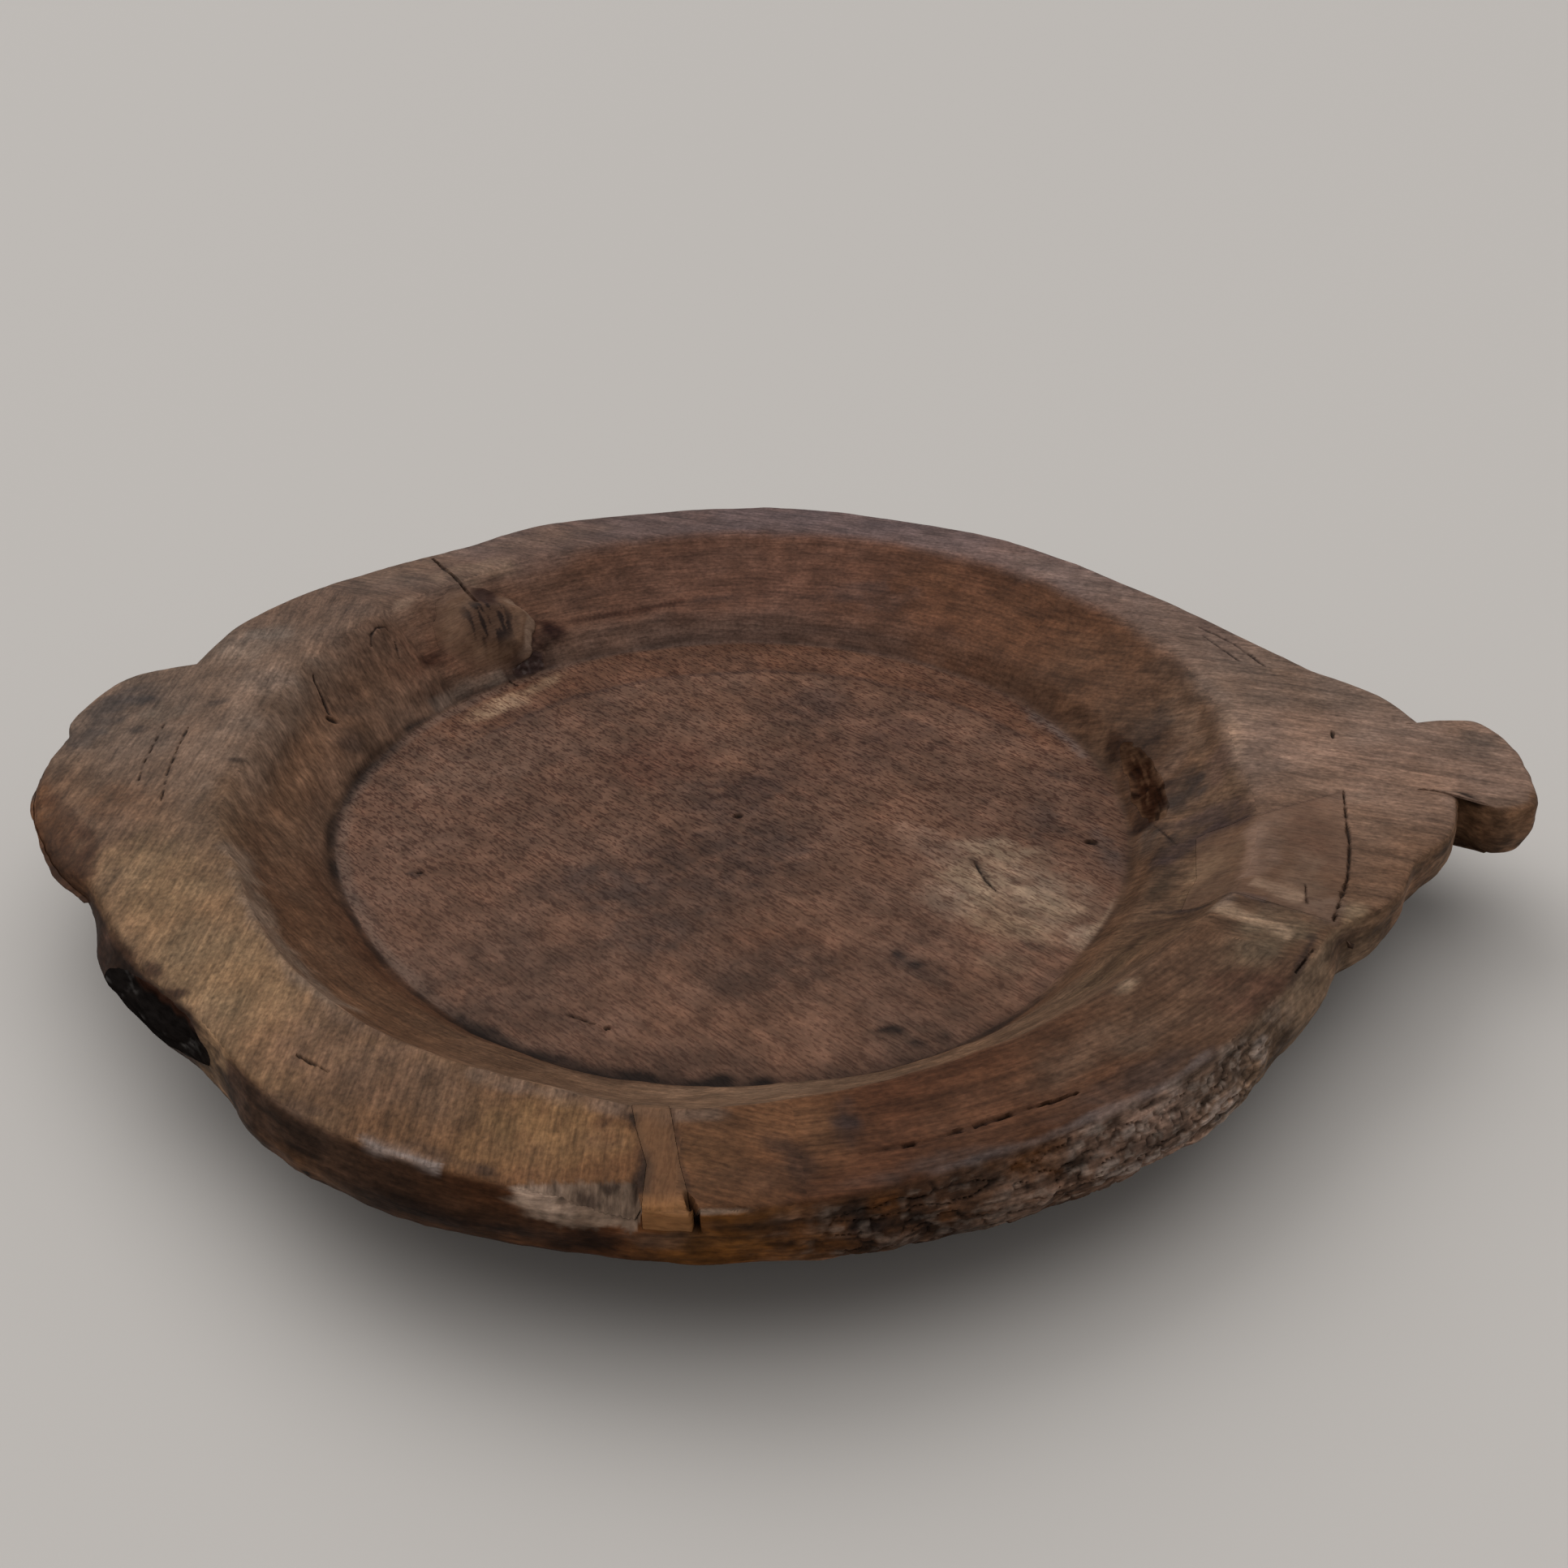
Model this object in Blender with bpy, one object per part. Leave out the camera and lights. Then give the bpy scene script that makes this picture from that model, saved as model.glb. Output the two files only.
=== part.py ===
"""A broad shallow bowl hewn from one block of wood, with a lug and a knob at its ends.

A strip and a block of other wood are let into the rim as repairs, a knot stands out of the rear
wall, and pitch fills three hollows. The bowl stands on its flat base at z = 0, below the compass
mark in the middle of its floor. +X points to the knob and +Y to the back. Sizes are in metres.
"""

import math

import bmesh
import bpy
from mathutils import Matrix, Vector

# Inside of the bowl
FLOOR_RADIUS = 0.150
FLOOR_THICKNESS = 0.0225
BOWL_DEPTH = 0.035
COVE_RADIUS = 0.004
LOWER_WALL_RUN = 0.007
LOWER_WALL_RISE = 0.010
WALL_HOLLOW = 0.0015

# How far the wall leans out from the floor's edge to the rim
WALL_RUN_LEFT = 0.032
WALL_RUN_RIGHT = 0.040
WALL_RUN_ENDS = 0.051

# Rim, as (degrees round from +X, width of the flat top) at the places where its width turns
RIM_WIDTHS = [
    (-154, 0.040),
    (-134, 0.0315),
    (-90, 0.044),
    (-45, 0.035),
    (17, 0.029),
    (52, 0.020),
    (95, 0.031),
    (122, 0.030),
    (152, 0.047),
]
INNER_EDGE_ROUND = 0.004
OUTER_EDGE_ROUND = 0.003

# Outside of the bowl
SIDE_HEIGHT = 0.019
LUG_EDGE_HEIGHT = 0.013
BASE_RADIUS = 0.150
UNDERSIDE_FULLNESS = 1.3

# Swellings of the outer side, as (degrees round, degrees to where it ends, how far it stands out):
# the bark at the front right and the swelling with the pitch at the front left
SIDE_SWELLINGS = [(-62, 36, 0.010), (-141, 22, 0.005)]
SWELLING_DROP = 0.012
SWELLING_FOOT_SHARE = 0.3

# Broad lug on the left
LEFT_LUG_REACH = 0.026
LEFT_LUG_ANGLE = 179
LEFT_LUG_BACK_SPREAD = 16
LEFT_LUG_FRONT_SPREAD = 27
LEFT_LUG_SQUARENESS = 3.0

# Tapering lug on the right, with a rounded knob on its end
RIGHT_LUG_REACH = 0.038
RIGHT_LUG_ANGLE = -7
RIGHT_LUG_BACK_SPREAD = 26
RIGHT_LUG_FRONT_SPREAD = 28
RIGHT_LUG_SQUARENESS = 1.6
KNOB_ANGLE = -5.8
KNOB_HALF_LENGTH = 0.024
KNOB_HALF_WIDTH = 0.0325
KNOB_THICKNESS = 0.022
KNOB_OVERHANG = 0.029
KNOB_EDGE_ROUND = 0.003
KNOB_SQUARENESS = 2.4

# Repair strip across the front rim
FRONT_PATCH_ANGLE = -93.5
FRONT_PATCH_HEADING = -79
FRONT_PATCH_INNER_WIDTH = 0.010
FRONT_PATCH_OUTER_WIDTH = 0.0115
FRONT_PATCH_DEPTH = 0.011

# Repair block in the right rim: the angles of its corners and how far it reaches over the rim
RIGHT_PATCH_BACK_INNER_ANGLE = -18.5
RIGHT_PATCH_BACK_OUTER_ANGLE = -12.5
RIGHT_PATCH_BACK_REACH = 0.030
RIGHT_PATCH_FRONT_ANGLE = -34.5
RIGHT_PATCH_FRONT_REACH = 0.032
RIGHT_PATCH_DEPTH = 0.016

# Knot in the rear wall: half sizes round the wall, up the wall and out of the wall
KNOT_ANGLE = 130.5
KNOT_HALF_SIZES = (0.019, 0.021, 0.008)
KNOT_HEIGHT = 0.019
KNOT_SINK = 0.0015

# Pitch in the corner beside the knot, placed round, down and out of the wall from the knot's middle
REAR_PITCH_HALF_SIZES = (0.008, 0.0055, 0.005)
REAR_PITCH_ROUND = 0.0106
REAR_PITCH_DOWN = 0.0221
REAR_PITCH_OUT = 0.003

# Fibrous pitch packed in the foot of the right wall
RIGHT_PITCH_ANGLE = 4.5
RIGHT_PITCH_HALF_SIZES = (0.032, 0.009, 0.006)
RIGHT_PITCH_HEIGHT = 0.0065
RIGHT_PITCH_SINK = 0.0025

# Pitch in a long hollow of the left side
LEFT_PITCH_ANGLE = -139
LEFT_PITCH_HALF_SIZES = (0.038, 0.0095, 0.009)
LEFT_PITCH_DROP = 0.0115

# Gap between a piece and the hollow that it sits in
CLEARANCE = 0.0003

# Edges sharper than this many degrees aren't shaded smooth
SHARP_EDGE = 35

# Fineness of the facets
RING_POINTS = 120
WALL_STEPS = 4
UNDERSIDE_STEPS = 6
KNOB_POINTS = 40
BLOB_SEGMENTS = 24
BLOB_RINGS = 14

# How far a cutter runs past the surface that it cuts
OVERRUN = 0.012

FLOOR_Z = FLOOR_THICKNESS
RIM_Z = FLOOR_THICKNESS + BOWL_DEPTH


def clear_scene():
    for old in list(bpy.data.objects):
        bpy.data.objects.remove(old)


def finish(name, colour, roughness):
    material = bpy.data.materials.new(name)
    material.use_nodes = True
    shader = material.node_tree.nodes["Principled BSDF"]
    shader.inputs["Base Color"].default_value = (*colour, 1.0)
    shader.inputs["Roughness"].default_value = roughness
    shader.inputs["Metallic"].default_value = 0.0
    return material


def turn_between(angle, centre):
    """Degrees from centre to angle, the short way round."""
    return (angle - centre + 180) % 360 - 180


def rim_width(angle):
    """The rim's width at an angle, easing from each place in RIM_WIDTHS to the next."""
    places = sorted(RIM_WIDTHS)
    for (start, first), (end, second) in zip(places, places[1:] + places[:1]):
        span = (end - start) % 360
        share = ((angle - start) % 360) / span
        if share <= 1:
            ease = share * share * (3 - 2 * share)
            return first + (second - first) * ease
    return places[0][1]


def lug(angle, centre, forward_spread, backward_spread, squareness):
    """1 at the lug's middle, falling to 0 at the ends of its spread."""
    turn = turn_between(angle, centre)
    spread = forward_spread if turn > 0 else backward_spread
    return max(0.0, 1 - (abs(turn) / spread) ** squareness)


def inner_radius(angle):
    """Radius of the oval opening's edge at the rim."""
    a = math.radians(angle)
    half_width = FLOOR_RADIUS + (WALL_RUN_RIGHT if math.cos(a) > 0 else WALL_RUN_LEFT)
    half_length = FLOOR_RADIUS + WALL_RUN_ENDS
    return 1 / math.hypot(math.cos(a) / half_width, math.sin(a) / half_length)


def left_lug(angle):
    return lug(angle, LEFT_LUG_ANGLE, LEFT_LUG_FRONT_SPREAD, LEFT_LUG_BACK_SPREAD, LEFT_LUG_SQUARENESS)


def right_lug(angle):
    return lug(angle, RIGHT_LUG_ANGLE, RIGHT_LUG_BACK_SPREAD, RIGHT_LUG_FRONT_SPREAD, RIGHT_LUG_SQUARENESS)


def outer_radius(angle):
    """Radius of the rim's outer edge, with both lugs."""
    rim = inner_radius(angle) + rim_width(angle)
    return rim + LEFT_LUG_REACH * left_lug(angle) + RIGHT_LUG_REACH * right_lug(angle)


def side_height(angle):
    """How far the outer side runs down before the underside draws in: less under the lugs."""
    return SIDE_HEIGHT + (LUG_EDGE_HEIGHT - SIDE_HEIGHT) * max(left_lug(angle), right_lug(angle))


def swelling(angle):
    """How far the outer side stands out below the rim's edge."""
    total = 0.0
    for centre, spread, reach in SIDE_SWELLINGS:
        share = min(1.0, abs(turn_between(angle, centre)) / spread)
        total += reach * (0.5 + 0.5 * math.cos(math.pi * share))
    return total


def wall_radius(angle, height):
    """Radius of the inner wall at a height above the floor."""
    foot = FLOOR_RADIUS + LOWER_WALL_RUN
    if height < LOWER_WALL_RISE:
        return FLOOR_RADIUS + LOWER_WALL_RUN * height / LOWER_WALL_RISE
    share = (height - LOWER_WALL_RISE) / (BOWL_DEPTH - LOWER_WALL_RISE)
    hollow = WALL_HOLLOW * math.sin(math.pi * share)
    return foot + (inner_radius(angle) - foot) * share + hollow


def half_section(angle):
    """(radius, height) points from the floor, up the wall, over the rim and under to the base."""
    inner = inner_radius(angle)
    outer = outer_radius(angle)
    bulge = swelling(angle)
    points = [
        (FLOOR_RADIUS - COVE_RADIUS, FLOOR_Z),
        (FLOOR_RADIUS, FLOOR_Z + COVE_RADIUS * LOWER_WALL_RISE / (COVE_RADIUS + LOWER_WALL_RISE)),
    ]
    for step in range(WALL_STEPS):
        rise = BOWL_DEPTH - INNER_EDGE_ROUND / 2 - LOWER_WALL_RISE
        height = LOWER_WALL_RISE + rise * step / (WALL_STEPS - 1)
        points.append((wall_radius(angle, height), FLOOR_Z + height))
    points += [
        (inner + INNER_EDGE_ROUND, RIM_Z),
        (outer - OUTER_EDGE_ROUND, RIM_Z),
        (outer, RIM_Z - OUTER_EDGE_ROUND),
        (outer + bulge, RIM_Z - side_height(angle) * SWELLING_DROP / SIDE_HEIGHT),
    ]
    side_foot = outer + bulge * SWELLING_FOOT_SHARE
    under_top = RIM_Z - side_height(angle)
    power = 2 / UNDERSIDE_FULLNESS
    for step in range(UNDERSIDE_STEPS + 1):
        sweep = math.pi / 2 * (1 - step / UNDERSIDE_STEPS)
        radius = BASE_RADIUS + (side_foot - BASE_RADIUS) * math.sin(sweep) ** power
        points.append((radius, under_top * (1 - max(0.0, math.cos(sweep)) ** power)))
    return points


def polar(angle, radius, height=0.0):
    a = math.radians(angle)
    return Vector((radius * math.cos(a), radius * math.sin(a), height))


def add_object(name, mesh_builder, material=None):
    """A new object whose mesh is what bmesh holds, with its faces turned outwards."""
    bmesh.ops.recalc_face_normals(mesh_builder, faces=mesh_builder.faces)
    mesh = bpy.data.meshes.new(name)
    mesh_builder.to_mesh(mesh)
    mesh_builder.free()
    made = bpy.data.objects.new(name, mesh)
    bpy.context.scene.collection.objects.link(made)
    if material:
        mesh.materials.append(material)
        mesh.shade_smooth()
        mesh.set_sharp_from_angle(angle=math.radians(SHARP_EDGE))
    else:
        made.hide_render = True
        made.display_type = "WIRE"
    return made


def boolean(target, operation, other):
    cut = target.modifiers.new(f"{operation.lower()}_{other.name}", "BOOLEAN")
    cut.operation = operation
    cut.solver = "EXACT"
    cut.object = other


def loft_bowl():
    """The bowl's skin as rings of one half section swept round, closed by the floor and the base."""
    builder = bmesh.new()
    angles = [360 * step / RING_POINTS for step in range(RING_POINTS)]
    sections = [[builder.verts.new(polar(a, r, z)) for r, z in half_section(a)] for a in angles]
    for here, there in zip(sections, sections[1:] + sections[:1]):
        for level in range(len(here) - 1):
            builder.faces.new((here[level], here[level + 1], there[level + 1], there[level]))
    builder.faces.new([section[0] for section in sections])
    builder.faces.new([section[-1] for section in sections])
    return builder


def knob_blank():
    """A flat tab with a squared oval outline and rounded edges, across the end of the right lug."""
    reach = outer_radius(RIGHT_LUG_ANGLE) + KNOB_OVERHANG - KNOB_HALF_LENGTH
    centre = polar(KNOB_ANGLE, reach, RIM_Z)
    levels = [
        (0.0, KNOB_EDGE_ROUND),
        (KNOB_EDGE_ROUND, 0.0),
        (KNOB_THICKNESS - 2 * KNOB_EDGE_ROUND, 0.0),
        (KNOB_THICKNESS, 2 * KNOB_EDGE_ROUND),
    ]
    power = 2 / KNOB_SQUARENESS
    builder = bmesh.new()
    rings = []
    for drop, inset in levels:
        ring = []
        for step in range(KNOB_POINTS):
            t = 2 * math.pi * step / KNOB_POINTS
            c, s = math.cos(t), math.sin(t)
            along = (KNOB_HALF_LENGTH - inset) * math.copysign(abs(c) ** power, c)
            across = (KNOB_HALF_WIDTH - inset) * math.copysign(abs(s) ** power, s)
            place = Matrix.Rotation(math.radians(KNOB_ANGLE), 3, "Z") @ Vector((along, across, -drop))
            ring.append(builder.verts.new(centre + place))
        rings.append(ring)
    for upper, lower in zip(rings, rings[1:]):
        for step in range(KNOB_POINTS):
            after = (step + 1) % KNOB_POINTS
            builder.faces.new((upper[step], upper[after], lower[after], lower[step]))
    builder.faces.new(rings[0])
    builder.faces.new(rings[-1])
    return add_object("knob_blank", builder)


def prism(name, outline, bottom, top, material=None):
    """A straight-sided block over a plan outline."""
    builder = bmesh.new()
    floor = [builder.verts.new((p.x, p.y, bottom)) for p in outline]
    roof = [builder.verts.new((p.x, p.y, top)) for p in outline]
    builder.faces.new(floor)
    builder.faces.new(roof)
    for step in range(len(outline)):
        after = (step + 1) % len(outline)
        builder.faces.new((floor[step], floor[after], roof[after], roof[step]))
    return add_object(name, builder, material)


def blob(name, place, axes, half_sizes, material=None):
    """A smooth lump with three half sizes along three axes."""
    builder = bmesh.new()
    bmesh.ops.create_uvsphere(builder, u_segments=BLOB_SEGMENTS, v_segments=BLOB_RINGS, radius=1.0)
    turn = Matrix(axes).transposed().to_4x4()
    bmesh.ops.transform(
        builder,
        matrix=Matrix.Translation(place) @ turn @ Matrix.Diagonal((*half_sizes, 1.0)),
        verts=builder.verts,
    )
    return add_object(name, builder, material)


def front_patch_outline(gap):
    """The strip's plan: a slight wedge across the rim, wider at the outer edge, grown by a gap."""
    inner = inner_radius(FRONT_PATCH_ANGLE)
    outer = outer_radius(FRONT_PATCH_ANGLE)
    middle = polar(FRONT_PATCH_ANGLE, (inner + outer) / 2)
    along = polar(FRONT_PATCH_HEADING, (outer - inner) / 2 + FRONT_PATCH_DEPTH + OVERRUN)
    across = polar(FRONT_PATCH_HEADING + 90, 1.0)
    half_start = FRONT_PATCH_INNER_WIDTH / 2 + gap
    half_end = FRONT_PATCH_OUTER_WIDTH / 2 + gap
    return [
        middle - along - across * half_start,
        middle + along - across * half_end,
        middle + along + across * half_end,
        middle - along + across * half_start,
    ]


def right_patch_outline(gap):
    """The block's plan: from inside the wall out over the rim, between its two sides, grown by a gap."""
    sides = [
        (RIGHT_PATCH_BACK_INNER_ANGLE, RIGHT_PATCH_BACK_OUTER_ANGLE, RIGHT_PATCH_BACK_REACH, gap),
        (RIGHT_PATCH_FRONT_ANGLE, RIGHT_PATCH_FRONT_ANGLE, RIGHT_PATCH_FRONT_REACH, -gap),
    ]
    lines = []
    for inner_angle, outer_angle, reach, sideways in sides:
        edge = polar(inner_angle, inner_radius(inner_angle))
        far = polar(outer_angle, inner_radius(outer_angle) + reach)
        heading = (far - edge).normalized()
        shift = Vector((-heading.y, heading.x, 0.0)) * sideways
        near = edge - heading * (RIGHT_PATCH_DEPTH + OVERRUN)
        lines.append((near + shift, far + heading * gap + shift))
    (back_near, back_far), (front_near, front_far) = lines
    return [back_near, back_far, front_far, front_near]


def wall_axes(angle):
    """Unit directions round the wall, up the wall and into its wood."""
    foot = Vector((wall_radius(angle, LOWER_WALL_RISE), 0.0, LOWER_WALL_RISE))
    edge = Vector((inner_radius(angle), 0.0, BOWL_DEPTH))
    slope = (edge - foot).normalized()
    outward = polar(angle, 1.0)
    up_wall = outward * slope.x + Vector((0.0, 0.0, slope.z))
    round_wall = polar(angle + 90, 1.0)
    return [round_wall, up_wall, round_wall.cross(up_wall)]


def wall_place(angle, height, sink):
    """A point sunk into the inner wall at a height above the floor, and the wall's directions there."""
    axes = wall_axes(angle)
    surface = polar(angle, wall_radius(angle, height), FLOOR_Z + height)
    return surface + axes[2] * sink, axes


def rear_pitch_place():
    """The pitch leans on the knot's edge, so it is placed from the knot and shares its directions."""
    knot, axes = wall_place(KNOT_ANGLE, KNOT_HEIGHT, KNOT_SINK)
    round_wall, up_wall, into_wood = axes
    return knot - round_wall * REAR_PITCH_ROUND - up_wall * REAR_PITCH_DOWN - into_wood * REAR_PITCH_OUT, axes


def left_pitch_place():
    angle = LEFT_PITCH_ANGLE
    place = polar(angle, outer_radius(angle) + swelling(angle), RIM_Z - LEFT_PITCH_DROP)
    return place, [polar(angle + 90, 1.0), polar(angle, 1.0), Vector((0.0, 0.0, 1.0))]


def make_bowl_blank(knob):
    """The carved bowl before its repairs and fillings, kept as a guide for the pieces let into it."""
    blank = add_object("bowl_blank", loft_bowl())
    boolean(blank, "UNION", knob)
    return blank


def make_front_patch(blank, material):
    bottom = RIM_Z - FRONT_PATCH_DEPTH
    patch = prism("front_rim_patch", front_patch_outline(0.0), bottom, RIM_Z + OVERRUN, material)
    boolean(patch, "INTERSECT", blank)
    outline = front_patch_outline(CLEARANCE)
    return prism("front_patch_pocket", outline, bottom - CLEARANCE, RIM_Z + OVERRUN)


def make_right_patch(blank, material):
    bottom = RIM_Z - RIGHT_PATCH_DEPTH
    patch = prism("right_rim_patch", right_patch_outline(0.0), bottom, RIM_Z + OVERRUN, material)
    boolean(patch, "INTERSECT", blank)
    outline = right_patch_outline(CLEARANCE)
    return prism("right_patch_pocket", outline, bottom - CLEARANCE, RIM_Z + OVERRUN)


def pocket_blob(name, place, axes, half_sizes):
    """A cutter for the hollow that a lump sits in."""
    return blob(name, place, axes, [size + CLEARANCE for size in half_sizes])


def make_knot(material):
    place, axes = wall_place(KNOT_ANGLE, KNOT_HEIGHT, KNOT_SINK)
    blob("rear_wall_knot", place, axes, KNOT_HALF_SIZES, material)
    return pocket_blob("knot_pocket", place, axes, KNOT_HALF_SIZES)


def make_rear_pitch(knot_pocket, material):
    place, axes = rear_pitch_place()
    pitch = blob("rear_wall_pitch", place, axes, REAR_PITCH_HALF_SIZES, material)
    boolean(pitch, "DIFFERENCE", knot_pocket)
    return pocket_blob("rear_pitch_pocket", place, axes, REAR_PITCH_HALF_SIZES)


def make_right_pitch(material):
    place, axes = wall_place(RIGHT_PITCH_ANGLE, RIGHT_PITCH_HEIGHT, RIGHT_PITCH_SINK)
    blob("right_wall_pitch", place, axes, RIGHT_PITCH_HALF_SIZES, material)
    return pocket_blob("right_pitch_pocket", place, axes, RIGHT_PITCH_HALF_SIZES)


def make_left_pitch(blank, material):
    place, axes = left_pitch_place()
    pitch = blob("left_edge_pitch", place, axes, LEFT_PITCH_HALF_SIZES, material)
    boolean(pitch, "INTERSECT", blank)
    return pocket_blob("left_pitch_pocket", place, axes, LEFT_PITCH_HALF_SIZES)


def make_bowl(knob, pockets, material):
    """The bowl itself, with its knob and with a pocket for each piece that sits in it."""
    body = add_object("bowl_body", loft_bowl(), material)
    boolean(body, "UNION", knob)
    for pocket in pockets:
        boolean(body, "DIFFERENCE", pocket)


def main():
    clear_scene()
    bowl_wood = finish("bowl_wood", (0.145, 0.082, 0.050), 0.6)
    patch_wood = finish("patch_wood", (0.200, 0.118, 0.067), 0.6)
    block_wood = finish("block_wood", (0.165, 0.095, 0.055), 0.6)
    knot_wood = finish("knot_wood", (0.115, 0.066, 0.040), 0.55)
    rear_pitch = finish("rear_pitch", (0.020, 0.014, 0.012), 0.45)
    fibre_pitch = finish("fibre_pitch", (0.035, 0.021, 0.013), 0.6)
    left_pitch = finish("left_pitch", (0.010, 0.009, 0.009), 0.3)

    knob = knob_blank()
    blank = make_bowl_blank(knob)
    knot_pocket = make_knot(knot_wood)
    pockets = [
        make_front_patch(blank, patch_wood),
        make_right_patch(blank, block_wood),
        knot_pocket,
        make_rear_pitch(knot_pocket, rear_pitch),
        make_right_pitch(fibre_pitch),
        make_left_pitch(blank, left_pitch),
    ]
    make_bowl(knob, pockets, bowl_wood)


main()
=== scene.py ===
"""The looks of the carved wooden bowl, made in the frame of its CAD model.

The bowl's skin is a grid of points in numpy: a section swept round the bowl, made finer where there are
cracks and seams, cut along the outlines of the let-in pieces, then carved and painted point by point.
+X points to the knob and +Y to the back. Sizes in this script are in millimetres until a mesh is made.
"""
import math

import bpy
import numpy as np
from mathutils import Matrix, Vector


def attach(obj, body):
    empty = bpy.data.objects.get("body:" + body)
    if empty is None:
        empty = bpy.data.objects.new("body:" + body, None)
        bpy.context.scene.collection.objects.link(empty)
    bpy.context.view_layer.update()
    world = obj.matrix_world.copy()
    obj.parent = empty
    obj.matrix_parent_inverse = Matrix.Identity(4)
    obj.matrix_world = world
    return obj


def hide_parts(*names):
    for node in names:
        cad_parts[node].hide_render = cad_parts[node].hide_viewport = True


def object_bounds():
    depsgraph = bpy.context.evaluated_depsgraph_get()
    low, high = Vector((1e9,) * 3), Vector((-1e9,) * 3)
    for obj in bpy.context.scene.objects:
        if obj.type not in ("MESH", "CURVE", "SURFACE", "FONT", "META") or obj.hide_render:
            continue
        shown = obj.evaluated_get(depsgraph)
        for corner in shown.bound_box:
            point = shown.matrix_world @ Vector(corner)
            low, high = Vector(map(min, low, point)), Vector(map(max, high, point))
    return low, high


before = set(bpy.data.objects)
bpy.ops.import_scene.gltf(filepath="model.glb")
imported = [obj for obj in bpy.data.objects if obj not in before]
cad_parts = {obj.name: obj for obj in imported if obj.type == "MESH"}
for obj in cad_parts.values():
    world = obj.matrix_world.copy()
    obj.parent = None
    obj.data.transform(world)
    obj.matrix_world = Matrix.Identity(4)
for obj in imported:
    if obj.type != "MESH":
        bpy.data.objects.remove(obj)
cad_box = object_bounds()

MM = 0.001

# Inside of the bowl
FLOOR_RADIUS = 150.0
FLOOR_Z = 22.5
RIM_Z = 57.2
COVE_REACH = 1.8
LOWER_WALL_RUNS = [(180, 9.6), (-135, 9.8), (-60, 9.6), (-10, 9.0), (40, 7.2), (90, 7.0), (135, 7.4)]
LOWER_WALL_RISE = 10.0
WALL_HOLLOW = 1.5

# Edge of the floor and inner edge of the rim, as (degrees round from +X, radius)
FLOOR_EDGE = [
    (-162, 147.0), (-149, 146.0), (-131, 149.0), (-119, 152.5), (-108, 155.0), (-98, 158.0), (-85, 158.8),
    (-72, 159.3), (-59, 157.5), (-46, 153.5), (-36, 150.5), (0, 149.5), (45, 150.0), (120, 150.0),
    (175, 151.5),
]
INNER_EDGE = [
    (-164, 183.0), (-151, 181.5), (-137, 187.8), (-119, 196.4), (-106, 199.8), (-95, 205.6),
    (-89, 204.6), (-80, 201.6),
    (-60, 194.5), (-44, 190.8), (-31, 194.5), (-17, 191.0), (-6, 186.2), (20, 190.0),
    (50, 196.0), (90, 201.0), (125, 194.5), (160, 186.8), (179, 178.0),
]

# How far the inner edge and the outer edge of the rim are rounded off
INNER_ROUND = [
    (-175, 12.0), (-150, 3.5), (-95, 3.0), (-40, 4.5), (0, 8.0), (60, 7.0), (120, 8.0), (165, 13.0),
]
OUTER_ROUND = [
    (-179, 4.0), (-173, 7.0), (-168, 13.0), (-163, 16.0), (-158, 11.0), (-154, 5.0), (-130, 3.0),
    (-90, 3.0),
    (-40, 3.5), (-16, 3.5), (-11, 4.0), (-4, 4.5), (0.3, 4.0), (8, 3.5), (120, 3.5), (170, 4.0),
]

# Outer edge of the rim, as runs of (degrees round, radius) that meet in corners, and the knob's edge
BACK_NOTCH = (0.3, 257.5)
FRONT_NOTCH = (349.2, 258.3)
OUTLINE_RUNS = [
    [BACK_NOTCH, (4, 253.5), (7.3, 247.0), (11.9, 234.0)],
    [
        (11.9, 234.0), (23.6, 222.0), (37.7, 217.5), (54, 222.0), (65.1, 224.0), (86.1, 231.2),
        (110.9, 230.5), (123.7, 225.5), (142.2, 232.0), (153.4, 234.0), (163.2, 228.0),
    ],
    [
        (163.2, 228.0), (166, 244.0), (169.6, 250.5), (175.1, 252.2), (177, 250.5), (178.2, 247.8),
        (179.5, 248.0), (183, 249.0), (187.7, 248.0), (191.8, 244.5), (200.1, 235.5), (206.4, 225.5),
        (218.1, 223.2), (226.2, 221.4), (238, 231.2), (248, 236.4), (257, 239.0), (266.6, 243.6),
        (276.1, 242.4), (286.5, 237.2), (299, 232.8), (308.7, 231.0), (318.4, 227.6), (326.1, 227.7),
    ],
    [(326.1, 227.7), (330, 236.5), (334.1, 241.4), (337.9, 243.5), (343.5, 254.6), FRONT_NOTCH],
]
KNOB_EDGE = [
    FRONT_NOTCH, (347.3, 270.3), (348.3, 281.4), (349.6, 285.2), (352.3, 286.6), (357, 286.2),
    (360.6, 281.0), (361, 269.4), (360.3, 257.5),
]
NECK_INSET = 18.0

# Outside of the bowl: how far its side runs down, and how far it swells out below the rim
SIDE_HEIGHTS = [
    (-175, 11.0), (-163, 10.0), (-150, 16.0), (-120, 18.5), (-88, 18.0), (-76, 21.0), (-62, 24.0),
    (-50, 23.5),
    (-42, 20.0), (-33, 18.0), (-22, 15.0), (-12, 20.0), (0.5, 20.0),
    (14, 15.0), (40, 19.0), (150, 18.0), (172, 12.0),
]
FOOT_INSETS = [
    (-175, 3.0), (-162, 7.0), (-148, 2.0), (-135, 0.0), (-90, 0.0), (-40, 0.0), (-14, 1.5), (-9, 3.5),
    (0.5, 5.0),
    (10, 2.0), (60, 0.0), (150, 1.0),
]
SIDE_SWELLINGS = [
    (-62, 36, 9.0), (-38, 10, 4.0), (-108, 14, 5.0), (-121, 12, 5.5), (-137, 11, 7.0), (-147, 9, 8.0),
]
SWELLING_DROP = 12.0
SWELLING_FOOT_SHARE = 0.6
BASE_RADIUS = 150.0
UNDERSIDE_POWER = 1.54

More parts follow.
